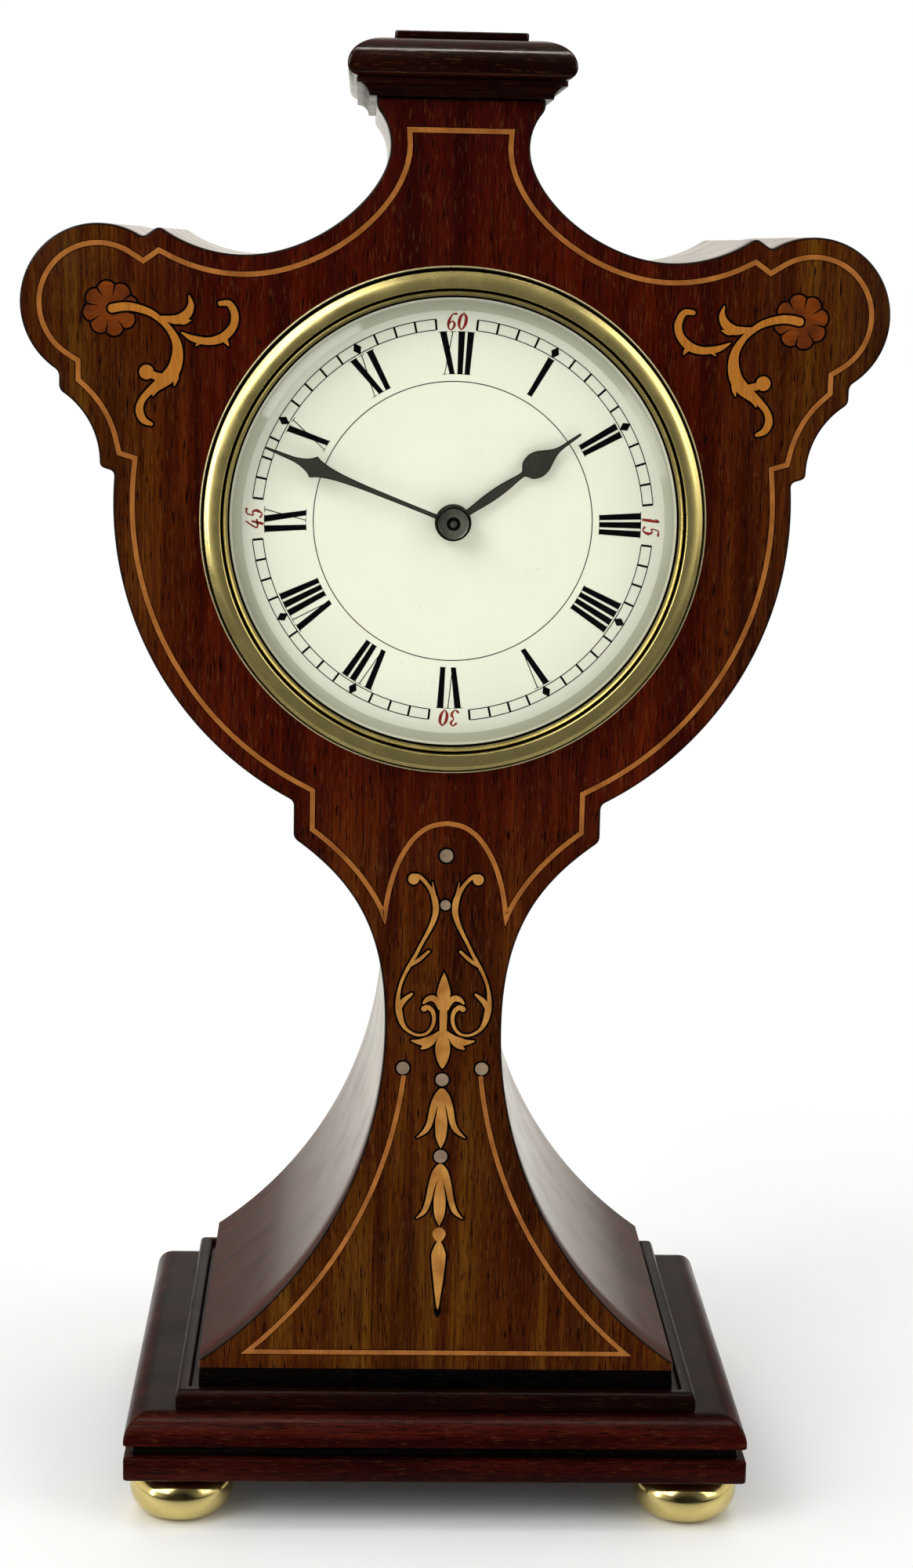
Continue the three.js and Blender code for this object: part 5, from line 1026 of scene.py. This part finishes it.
def husk(top, root, tip, foot, reach):
    """Bellflower: half a middle petal, and a petal that curls out."""
    middle = [(0, top - 0.2), (0.5, root + 1.5), (0.92, root - 1.0), (1.05, root - 2.6), (0.8, foot + 1.8),
              (0, foot)]
    petal = [(0.1, top, 1.1), (0.8, top - 1.2, 1.3), (1.5, root + 0.3, 1.15), (1.95, root - 2.0, 1.0),
             (2.7, tip + 1.2, 0.85), (reach, tip - 0.1, 0.15)]
    return middle, petal


def inlay_front():
    """Face of the next inlaid piece, a hair in front of the one before, so that no two coincide."""
    return INLAY_FRONT - LAYER * next(layers)


def lay_stroke(bm, controls):
    for side in (1, -1):
        path = raised([(side * x, rise, width) for x, rise, width in controls])
        add_stroke(bm, path, inlay_front(), INLAY_BACK)
        add_stroke(joint_shade_lines, path, OUTLINE_FRONT, INLAY_BACK, OUTLINE_WIDTH)


def lay_loop(bm, loop):
    """Closed leaf and the dark line round it, a joint line with painted shade, counter-clockwise."""
    upright = raised(loop)
    add_plate(bm, upright, inlay_front(), INLAY_BACK)
    add_plate(joint_shade_lines, offset(upright, -OUTLINE_WIDTH, limit=2.0), OUTLINE_FRONT, INLAY_BACK)


def lay_round(bm, x, rise, radius):
    for side in (1, -1) if x else (1,):
        lay_loop(bm, circle(radius, 28, (side * x, rise)))


def lay_half(bm, half, steps=6):
    """Leaf that is its own mirror image, from its right half, top to foot."""
    lay_loop(bm, mirrored(spline(half, steps))[::-1])


marquetry = bmesh.new()
dots = bmesh.new()
lay_stroke(marquetry, LYRE)
lay_round(marquetry, *LYRE_BALL)
for leaf in LEAVES:
    lay_stroke(marquetry, leaf)
lay_half(marquetry, FLEUR)
for sizes in HUSKS:
    middle, petal = husk(*sizes)
    lay_stroke(marquetry, petal)
    lay_half(marquetry, middle)
lay_half(marquetry, DROP)
lay_half(joint_shade_lines, DROP_TIP, 4)
for dot in DOTS:
    lay_round(dots, *dot)
for stroke in SPRAY_STROKES:
    lay_stroke(marquetry, stroke)
lay_round(marquetry, *SPRAY_BALL)

# Flower heads with scalloped petals
FLOWER = (57.3, 183.7)
FLOWER_STEPS = 160
PETALS = 8
PETAL_REACH = 3.0
PETAL_RADIUS = 1.48
PETAL_TURN = 0.2
PETAL_LINE = [(3.75, 0.34), (3.1, 0.24), (2.1, 0.05)]
FLOWER_FRONT = FACE - 0.01
FLOWER_OUTLINE_FRONT = FACE - 0.005
PETAL_LINE_FRONT = FACE - 0.014


def flower_reach(turn):
    """Reach of the scalloped edge at an angle."""
    lean = ((turn * PETALS / tau + 0.5) % 1 - 0.5) * tau / PETALS
    return PETAL_REACH * cos(lean) + sqrt(PETAL_RADIUS**2 - (PETAL_REACH * sin(lean)) ** 2)


flowers = bmesh.new()
flower_turns = [tau * step / FLOWER_STEPS for step in range(FLOWER_STEPS)]
for side in (1, -1):
    middle = (side * FLOWER[0], FLOWER[1])
    loop = raised([polar(middle, flower_reach(turn), turn + PETAL_TURN) for turn in flower_turns])
    add_plate(flowers, loop, FLOWER_FRONT, INLAY_BACK)
    add_plate(joint_shade_lines, offset(loop, -OUTLINE_WIDTH, limit=2.0), FLOWER_OUTLINE_FRONT, INLAY_BACK)
    for petal in range(PETALS):
        turn = (petal + 0.5) * tau / PETALS + PETAL_TURN
        line = [(*polar(middle, reach, turn), width) for reach, width in PETAL_LINE]
        add_stroke(joint_shade_lines, raised(line), PETAL_LINE_FRONT, INLAY_BACK, steps=3)
add_piece("marquetry_sprays_and_lyre", marquetry, [satinwood], "mahogany")
add_piece("marquetry_flowers", flowers, [amboyna], "mahogany")
add_piece("inlaid_dots", dots, [pearl], "steel")
add_piece("marquetry_joints_and_painted_shade", joint_shade_lines, [joint_shade_look], "dark_wood")

# Bezel from the outside in: bead, groove, broad band, groove, bead, step and dark gap at the glass
# Looks in the profiles: painted shade on groove floors, walls and the gap at the glass; a painted highlight
# on the outer bead
PAINTED_SHADE = 1
PAINTED_HIGHLIGHT = 2
BEZEL_GROW = 0.33
BEAD = (0.21, 0.8)
GROOVE = 0.44
GROOVE_DEPTH = 0.9
BAND_FALL = 1.6
BAND_TURN = 55
BAND_OUTER_EASE = 0.35
BAND_INNER_EASE = 0.25
LIP_BEAD = (0.2, 0.35)
LIP_STEP = 0.31
LIP_DEPTH = 0.3
LIP_RISE = 0.8
LIP_WALL = 0.1
LIP_SHELF = 0.2
SIGHT_RADIUS = 37.4
SIGHT_GAP = 0.33
GLASS_THICKNESS = 1.1
PLAY = 0.1
rebate = glass_high.x + PLAY
glass_rim = glass_high.y - GLASS_THICKNESS
lip_face = glass_rim - LIP_RISE
lip_floor = lip_face + LIP_DEPTH
bezel_radius = bezel_high.x + BEZEL_GROW
bead_inner = bezel_radius - 2 * BEAD[0]
band_outer = bead_inner - GROOVE
step_inner = SIGHT_RADIUS + SIGHT_GAP
lip_inner = step_inner + LIP_STEP
lip_outer = lip_inner + 2 * LIP_BEAD[0]
band_inner = lip_outer + GROOVE
band_start = band_inner + BAND_INNER_EASE
band_stop = band_outer - BAND_OUTER_EASE
band_radii = ((band_stop - band_start) / sin(radians(BAND_TURN)), BAND_FALL)
band_edge = bezel_low.y + BAND_FALL * (1 - cos(radians(BAND_TURN))) + BAND_OUTER_EASE
groove_floor = bezel_high.y - GROOVE_DEPTH
# The outer bead carries the painted highlight
outer_bead = round_profile((bezel_radius - BEAD[0], bezel_high.y - BEAD[1]), BEAD, 180, 360, 10)
bezel_profile = [
    (rebate, bezel_high.y, PAINTED_SHADE),
    (rebate, glass_rim - PLAY, PAINTED_SHADE),
    (SIGHT_RADIUS, glass_rim - PLAY, PAINTED_SHADE),
    (SIGHT_RADIUS, lip_floor, PAINTED_SHADE),
    (step_inner, lip_floor, PAINTED_SHADE),
    (step_inner, lip_face - LIP_WALL),
    (lip_inner, lip_face - LIP_SHELF),
    *round_profile((lip_inner + LIP_BEAD[0], lip_face - LIP_SHELF), LIP_BEAD, 180, 360, 8),
    (lip_outer, lip_face, PAINTED_SHADE),
    (lip_outer, lip_floor, PAINTED_SHADE),
    (band_inner, lip_floor, PAINTED_SHADE),
    (band_inner, lip_face - LIP_WALL),
    *round_profile((band_start, bezel_low.y + BAND_INNER_EASE), BAND_INNER_EASE, 180, 270, 5),
    *round_profile((band_start, bezel_low.y + BAND_FALL), band_radii, 275, 270 + BAND_TURN, 14),
    *round_profile((band_stop, band_edge), BAND_OUTER_EASE, 315, 360, 5),
    (band_outer, band_edge + BAND_OUTER_EASE, PAINTED_SHADE),
    (band_outer, groove_floor, PAINTED_SHADE),
    (bead_inner, groove_floor, PAINTED_SHADE),
    *((*place, PAINTED_HIGHLIGHT) for place in outer_bead),
    (bezel_radius, bezel_high.y),
]
bm = bmesh.new()
add_turned(bm, bezel_profile, 192)
add_piece("bezel_turned", bm, [bezel_brass, groove_painted_shade, bead_highlight_brass], "brass", "bezel")

# Convex glass with a bevelled edge
# Look of the bevel, grey tinted as painted shade
BEVEL = 1
BEVEL_RADIUS = 35.3
BEVEL_RISE = 0.75
DOME_STEPS = 14
DOME_INSET = 0.4
GLASS_SHARP = 9
dome_edge = SIGHT_RADIUS - DOME_INSET
glass_rise = glass_rim - glass_low.y


def dome(seat, look):
    """Profile of one face of the glass, from near its middle to its bevelled edge."""
    line = []
    for share in (step / DOME_STEPS for step in range(1, DOME_STEPS + 1)):
        line.append((BEVEL_RADIUS * share, seat - glass_rise + (glass_rise - BEVEL_RISE) * share**2))
    return [*line[:-1], (*line[-1], look), (dome_edge, seat)]


glass_profile = [
    *dome(glass_rim, BEVEL),
    (glass_high.x, glass_rim),
    (glass_high.x, glass_high.y),
    *reversed(dome(glass_high.y, 0)),
]
bm = bmesh.new()
add_turned(bm, glass_profile, 160, closed=False)
add_piece("convex_dial_glass", bm, [glass_clear, glass_bevel_painted_shade], "glass", "glass", sharp=GLASS_SHARP)

# Enamel dial
DIAL_EDGE = 0.3
dial_radius = dial_high.x
dial_hole = hole_radius("dial")
dial_profile = [
    (dial_hole, dial_high.y),
    (dial_hole, DIAL_FACE + DIAL_EDGE),
    (dial_hole + DIAL_EDGE, DIAL_FACE),
    (dial_radius - DIAL_EDGE, DIAL_FACE),
    (dial_radius, DIAL_FACE + DIAL_EDGE),
    (dial_radius, dial_high.y),
]
bm = bmesh.new()
add_turned(bm, dial_profile, 160)
add_piece("enamel_dial", bm, [enamel], "enamel", "dial")

# Black print: numerals, chapter ring, minute track and diamonds
PRINT_PROUD = 0.03
PRINT = (DIAL_FACE - PRINT_PROUD, DIAL_FACE + PRINT_PROUD)
DIAMOND_PRINT = (DIAL_FACE - PRINT_PROUD * 1.5, DIAL_FACE + PRINT_PROUD)
CHAPTER_RADIUS = 23.46
NUMERAL_INNER = 24.65
NUMERAL_HEIGHT = 7.07
NUMERAL_MIDDLE = NUMERAL_INNER + NUMERAL_HEIGHT / 2
TRACK_INNER = 32.03
TRACK_OUTER = 33.8
TRACK_MIDDLE = (TRACK_INNER + TRACK_OUTER) / 2
TRACK_HALF = 0.075
TICK_HALF = 0.18
DIAMOND_REACH = 1.08
DIAMOND_HALF = 0.74
MINUTES = 60
MINUTE = 360 / MINUTES
TRACK_TURN = 90 - 2 * MINUTE
TRACK_STEPS = 62
THICK = 0.98
THIN = 0.15
SERIF = 0.1 / NUMERAL_HEIGHT
NUMERALS = ["XII", "I", "II", "III", "IIII", "V", "VI", "VII", "VIII", "IX", "X", "XI"]
# Each letter's advance, its strokes as (top, foot, width) and its serifs as (middle, level, width)
LETTERS = {
    "I": (1.36, [(0.68, 0.68, THICK)], [(0.68, 0, THICK + 0.3), (0.68, 1, THICK + 0.3)]),
    "V": (2.8, [(0.8, 1.45, THICK), (2.3, 1.6, THIN)], [(0.8, 1, 1.5), (2.3, 1, 0.9)]),
    "X": (2.9, [(0.8, 2.1, THICK), (2.25, 0.65, THIN)],
          [(0.8, 1, 1.4), (2.1, 0, 1.4), (2.25, 1, 0.9), (0.65, 0, 0.9)]),
}


def bar(top, foot, width, low=0, high=1):
    """Slanted bar between its middles at top and foot, as (across, up)."""
    half = width / 2
    return [(foot - half, low), (foot + half, low), (top + half, high), (top - half, high)]


printed = bmesh.new()
for hour, letters in enumerate(NUMERALS):
    start = -sum(LETTERS[letter][0] for letter in letters) / 2
    for advance, strokes, serifs in (LETTERS[letter] for letter in letters):
        bars = [bar(*stroke) for stroke in strokes]
        for middle, level, width in serifs:
            low = level - SERIF if level else 0
            bars.append(bar(middle, middle, width, low, low + SERIF))
        for stroke in bars:
            loop = []
            for across, up in stroke:
                turn = hour * 360 / len(NUMERALS) + degrees((start + across) / NUMERAL_MIDDLE)
                loop.append(on_dial(turn, NUMERAL_INNER + up * NUMERAL_HEIGHT))
            add_plate(printed, loop, *PRINT)
        start += advance
chapter = [on_dial(step * 2, CHAPTER_RADIUS) for step in range(180)]
add_string(printed, chapter, TRACK_HALF, *PRINT, True)
for quarter, radius in itertools.product(range(4), (TRACK_INNER, TRACK_OUTER)):
    first = quarter * 90 + MINUTE
    turns = [first + TRACK_TURN * step / TRACK_STEPS for step in range(TRACK_STEPS + 1)]
    add_string(printed, [on_dial(turn, radius) for turn in turns], TRACK_HALF, *PRINT)
lean = degrees(DIAMOND_HALF / TRACK_MIDDLE)
for minute in range(MINUTES):
    turn = minute * MINUTE
    if minute % 5:
        add_string(printed, [on_dial(turn, TRACK_INNER), on_dial(turn, TRACK_OUTER)], TICK_HALF, *PRINT)
    elif minute % 15:
        corners = ((0, -DIAMOND_REACH), (lean, 0), (0, DIAMOND_REACH), (-lean, 0))
        loop = [on_dial(turn + side, TRACK_MIDDLE + reach) for side, reach in corners]
        add_plate(printed, loop, *DIAMOND_PRINT)
add_piece("dial_print_black", printed, [black_print], "dark_steel")

# Red minute figures, thin and thick strokes on a leaning frame
FIGURES = {
    "0": [[(0.5, 1, 0.5), (0.18, 0.75, 1.3), (0.14, 0.3, 1.3), (0.45, 0, 0.5), (0.78, 0.28, 1.3),
           (0.82, 0.72, 1.3), (0.5, 1, 0.5)]],
    "1": [[(0.3, 0.8, 0.5), (0.5, 0.98, 0.9), (0.5, 0.5, 1.3), (0.5, 0.02, 1.2)]],
    "3": [[(0.15, 0.85, 1.0), (0.45, 1, 0.5), (0.75, 0.8, 1.2), (0.5, 0.56, 0.5), (0.8, 0.28, 1.3),
           (0.5, 0, 0.5), (0.12, 0.12, 1.1)]],
    "4": [[(0.62, 1, 0.6), (0.1, 0.34, 0.7), (0.95, 0.34, 0.8)], [(0.72, 0.62, 0.8), (0.62, 0, 1.3)]],
    "5": [[(0.85, 0.98, 1.0), (0.35, 0.96, 0.6), (0.25, 0.56, 0.6), (0.6, 0.6, 0.7), (0.8, 0.34, 1.3),
           (0.55, 0.02, 0.6), (0.15, 0.12, 1.0)]],
    "6": [[(0.85, 0.95, 1.0), (0.45, 0.9, 0.6), (0.15, 0.45, 1.3), (0.25, 0.06, 0.7), (0.6, 0, 0.6),
           (0.82, 0.25, 1.2), (0.6, 0.5, 0.6), (0.2, 0.35, 0.6)]],
}
FIGURE_HEIGHT = 2.7
FIGURE_WIDTH = 1.55
FIGURE_PITCH = FIGURE_WIDTH * 1.15
FIGURE_LEAN = 0.22
FIGURE_MIDDLE = 0.55
FIGURE_STROKE = 0.38
FIGURE_FOOT = 32.0
red = bmesh.new()
for quarter, text in enumerate(("60", "15", "30", "45")):
    for index, letter in enumerate(text):
        for controls in FIGURES[letter]:
            path = []
            for x, up, weight in controls:
                across = (x + up * FIGURE_LEAN - FIGURE_MIDDLE) * FIGURE_WIDTH + (index - 0.5) * FIGURE_PITCH
                place = on_dial(quarter * 90, FIGURE_FOOT + up * FIGURE_HEIGHT, across)
                path.append((*place, weight * FIGURE_STROKE))
            add_stroke(red, path, *PRINT, steps=5)
add_piece("dial_print_red", red, [red_print], "dark_steel")

# Spade hands with darker edges, half outlines from the boss to the tip as (across, along)
HAND_EASE = 0.14
BOSS_STEPS = 24
HOUR_ANGLE = 54.25
MINUTE_ANGLE = 291
HOUR_HAND = [
    (0.55, 3.04), (0.62, 4.3), (0.74, 5.6), (0.84, 7.2), (0.86, 8.4), (0.83, 9.6), (0.72, 11.2),
    (0.52, 12.8), (0.45, 13.7), (0.5, 14.3), (0.95, 14.7), (1.6, 15.2), (2.0, 16.0), (2.17, 16.9),
    (2.08, 17.7), (1.82, 18.5), (1.36, 19.3), (0.94, 20.1), (0.58, 20.9), (0.4, 21.7), (0.32, 22.6),
    (0.3, 23.6), (0.26, 24.8), (0.22, 25.5), (0.18, 25.9), (0.0, 26.0),
]
MINUTE_HAND = [
    (0.36, 2.47), (0.36, 5.0), (0.37, 9.0), (0.4, 11.7), (0.43, 14.4), (0.5, 17.1), (0.65, 19.8),
    (0.8, 21.2), (1.0, 22.5), (1.31, 23.8), (1.6, 24.55), (1.84, 25.05), (1.86, 25.15), (1.7, 25.35),
    (1.29, 25.85), (0.97, 26.5), (0.72, 27.2), (0.55, 27.9), (0.42, 28.6), (0.36, 29.4), (0.31, 30.6),
    (0.26, 32.0), (0.21, 33.2), (0.18, 33.68), (0.0, 33.8),
]


def hand(name, node, half, angle, body):
    """Hand turned to its place, with a round boss and a bore."""
    low, high = span(node)
    first = atan2(half[0][1], half[0][0])
    turns = [pi - first + (2 * first + pi) * step / BOSS_STEPS for step in range(1, BOSS_STEPS)]
    boss = [polar((0, 0), hypot(*half[0]), turn) for turn in turns]
    shape = [on_dial(angle, reach, across) for across, reach in mirrored(spline(half, 6)) + boss]
    bm = bmesh.new()
    rings = [add_loop(bm, offset(shape, HAND_EASE, limit=1.5), low.y)]
    rings += [add_loop(bm, shape, depth) for depth in (low.y + HAND_EASE, high.y)]
    bores = [add_loop(bm, circle(hole_radius(node), 40, CENTRE), depth) for depth in (low.y, high.y)]
    for pair in zip(rings, rings[1:]):
        bridge(bm, *pair, 1)
    bridge(bm, *bores)
    cap(bm, rings[0], bores[0])
    cap(bm, rings[-1], bores[1])
    add_piece(name, bm, [dark_steel, edge_steel], "dark_steel", node, body=body)


hand("spade_hour_hand", "hour_hand", HOUR_HAND, HOUR_ANGLE, "hour_set")
hand("spade_minute_hand", "minute_hand", MINUTE_HAND, MINUTE_ANGLE, "minute_set")

# Collet with a raised rim and a boss round the arbor
RIM_HALF = 0.3
RECESS = 0.22
BOSS_WIDTH = 0.12
collet_low, collet_high = span("hand_collet")
collet_bore = hole_radius("hand_collet")
recess_face = collet_low.y + RECESS
rim = (collet_high.x - RIM_HALF, recess_face)
rim_radii = (RIM_HALF, RECESS)
# Painted shade on the edge of the bore and on the outer side of the rim
collet_profile = [
    (collet_bore, collet_high.y),
    (collet_bore, recess_face + BOSS_WIDTH, PAINTED_SHADE),
    (collet_bore + BOSS_WIDTH, recess_face),
    (collet_high.x - 2 * RIM_HALF, recess_face),
    *round_profile(rim, rim_radii, 180, 250, 4),
    *((*place, PAINTED_SHADE) for place in round_profile(rim, rim_radii, 265, 360, 6)),
    (collet_high.x, collet_high.y),
]
bm = bmesh.new()
add_turned(bm, collet_profile, 64)
collet_looks = [collet_steel, groove_painted_shade]
add_piece("hand_collet_turned", bm, collet_looks, "dark_steel", "hand_collet", body="minute_set")

# Camera, solved from the photograph
PHOTO_HEIGHT = 2000
FOCAL_PIXELS = 3600
SENSOR = 36.0
CAMERA_PLACE = (-15.449, -509.65, 223.473)
CAMERA_TURNS = (2.0448, 10.7811, 1.1775)


def aim_camera():
    """Camera turned by its yaw, pitch and roll."""
    yaw, pitch, roll = (radians(turn) for turn in CAMERA_TURNS)
    data = bpy.data.cameras.new("photo_camera")
    data.sensor_width = SENSOR
    data.lens = FOCAL_PIXELS / PHOTO_HEIGHT * SENSOR
    data.clip_start = 0.01
    camera = bpy.data.objects.new("photo_camera", data)
    aim = Matrix.Rotation(-yaw, 4, "Z") @ Matrix.Rotation(pi / 2 - pitch, 4, "X")
    camera.matrix_world = Matrix.Translation(point(*CAMERA_PLACE)) @ aim @ Matrix.Rotation(roll, 4, "Z")
    bpy.context.scene.collection.objects.link(camera)
    bpy.context.scene.camera = camera


# World, lamps and floor; reflections see a warm room that is dark in front and dim in its far corners
AMBIENT = 0.49
ROOM_DARK = 0.015
ROOM_FRONT = (-0.9, -0.42)
ROOM_UP = (0.25, 0.65)
ROOM_TOP = 0.2
ROOM_BEHIND = (0.6, 0.85)
ROOM_ASIDE = (0.06, 0.3)
ROOM_CORNER = 0.3
WHITE = (1, 1, 1, 1)
WARM_WHITE = (1.0, 0.96, 0.87, 1)
SEEN = ["Is Camera Ray"]
BOUNCED = ["Is Glossy Ray", "Is Transmission Ray"]
LAMP_TARGET = Vector((0, 0, 0.13))
FLOOR_HALF = 4.0
FLOOR_FRONT = -0.45
FLOOR_WHITE = (0.1, 0.26)
FLOOR_DARK = (-0.075, -0.045)
FLOOR_ASIDE = (0.08, 0.32)
FLOOR_SIDE = 0.26


def light_world():
    """White to the eye, plain light on the object, and the room for reflections."""
    world = bpy.data.worlds.new("studio")
    world.use_nodes = True
    bpy.context.scene.world = world
    nodes = Nodes(world.node_tree)
    nodes.tree.nodes.clear()
    way = nodes.axes(nodes.add("ShaderNodeTexCoord").outputs["Generated"])
    depth = nodes.fade(way["Y"], *ROOM_FRONT, ROOM_DARK, 1.0)
    height = nodes.fade(way["Z"], *ROOM_UP, 1.0, ROOM_TOP)
    corner = nodes.fade(nodes.math("ABSOLUTE", way["X"]), *ROOM_ASIDE, 1.0, ROOM_CORNER)
    behind = nodes.fade(way["Y"], *ROOM_BEHIND)
    shade = nodes.add("ShaderNodeMix", {"Factor": behind, "A": 1.0, "B": corner}).outputs["Result"]
    room = nodes.math("MULTIPLY", nodes.math("MULTIPLY", depth, height), shade)
    shown = nodes.add("ShaderNodeBackground", {"Color": WHITE, "Strength": AMBIENT}).outputs[0]
    for kinds, tint, strength in ((BOUNCED, WARM_WHITE, room), (SEEN, WHITE, 1.0)):
        back = nodes.add("ShaderNodeBackground", {"Color": tint, "Strength": strength}).outputs[0]
        shown = nodes.blend(nodes.any_ray(*kinds), shown, back)
    nodes.add("ShaderNodeOutputWorld", {"Surface": shown})


def add_lamp(name, place, width, height, power):
    data = bpy.data.lights.new(name, "AREA")
    data.shape = "RECTANGLE"
    data.size = width
    data.size_y = height
    data.energy = power
    lamp = bpy.data.objects.new(name, data)
    lamp.location = place
    lamp.rotation_euler = (LAMP_TARGET - Vector(place)).to_track_quat("-Z", "Y").to_euler()
    bpy.context.scene.collection.objects.link(lamp)
    return lamp


def lay_floor():
    """Pale floor with the object's shadow, white further off, and dark in front for reflections."""
    look = Look("pale_floor", shine=0.2)
    tone = look.mix(look.fade(look.noise(60, 2.0), 0.3, 0.7), (250, 250, 248), (246, 246, 244))
    look.set({"Base Color": tone, "Roughness": 0.6})
    axes = look.axes(look.place)
    far = look.fade(look.length(look.place), *FLOOR_WHITE)
    front = look.fade(axes["Y"], *FLOOR_DARK, 1.0, 0.0)
    aside = look.fade(look.math("ABSOLUTE", axes["X"]), *FLOOR_ASIDE, 1.0, FLOOR_SIDE)
    shown = look.shader.outputs[0]
    for kinds, amount, tint, strength in (
        (SEEN, far, WHITE, 1.0),
        (BOUNCED, far, WARM_WHITE, aside),
        (BOUNCED, front, WHITE, ROOM_DARK),
    ):
        light = look.add("ShaderNodeEmission", {"Color": tint, "Strength": strength}).outputs[0]
        shown = look.blend(look.math("MULTIPLY", amount, look.any_ray(*kinds)), shown, light)
    look.show(shown)
    bm = bmesh.new()
    for x, y in ((-1, FLOOR_FRONT), (1, FLOOR_FRONT), (1, FLOOR_HALF), (-1, FLOOR_HALF)):
        bm.verts.new((x * FLOOR_HALF, y, 0))
    bm.faces.new(bm.verts)
    floor = make("pale_floor", bm, [look.material])
    floor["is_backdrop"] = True


aim_camera()
light_world()
add_lamp("key_window", (-0.75, -0.75, 0.95), 0.7, 0.9, 8.5)
add_lamp("fill_window", (0.95, -0.6, 0.7), 0.5, 0.9, 3.4)
add_lamp("top_window", (0.0, 0.1, 1.3), 1.2, 0.9, 8.5).visible_glossy = False
add_lamp("strip_window", (0.0, -0.05, 1.3), 1.0, 0.1, 5.5).visible_diffuse = False
add_lamp("side_window", (-1.0, -0.5, 0.25), 0.12, 0.7, 3.0).visible_diffuse = False
lay_floor()
bpy.context.scene.view_settings.view_transform = "Standard"

sizes = {}
for label, box in (("cad", cad_box), ("visual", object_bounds())):
    sizes[label] = [[float(value) for value in corner] for corner in box]
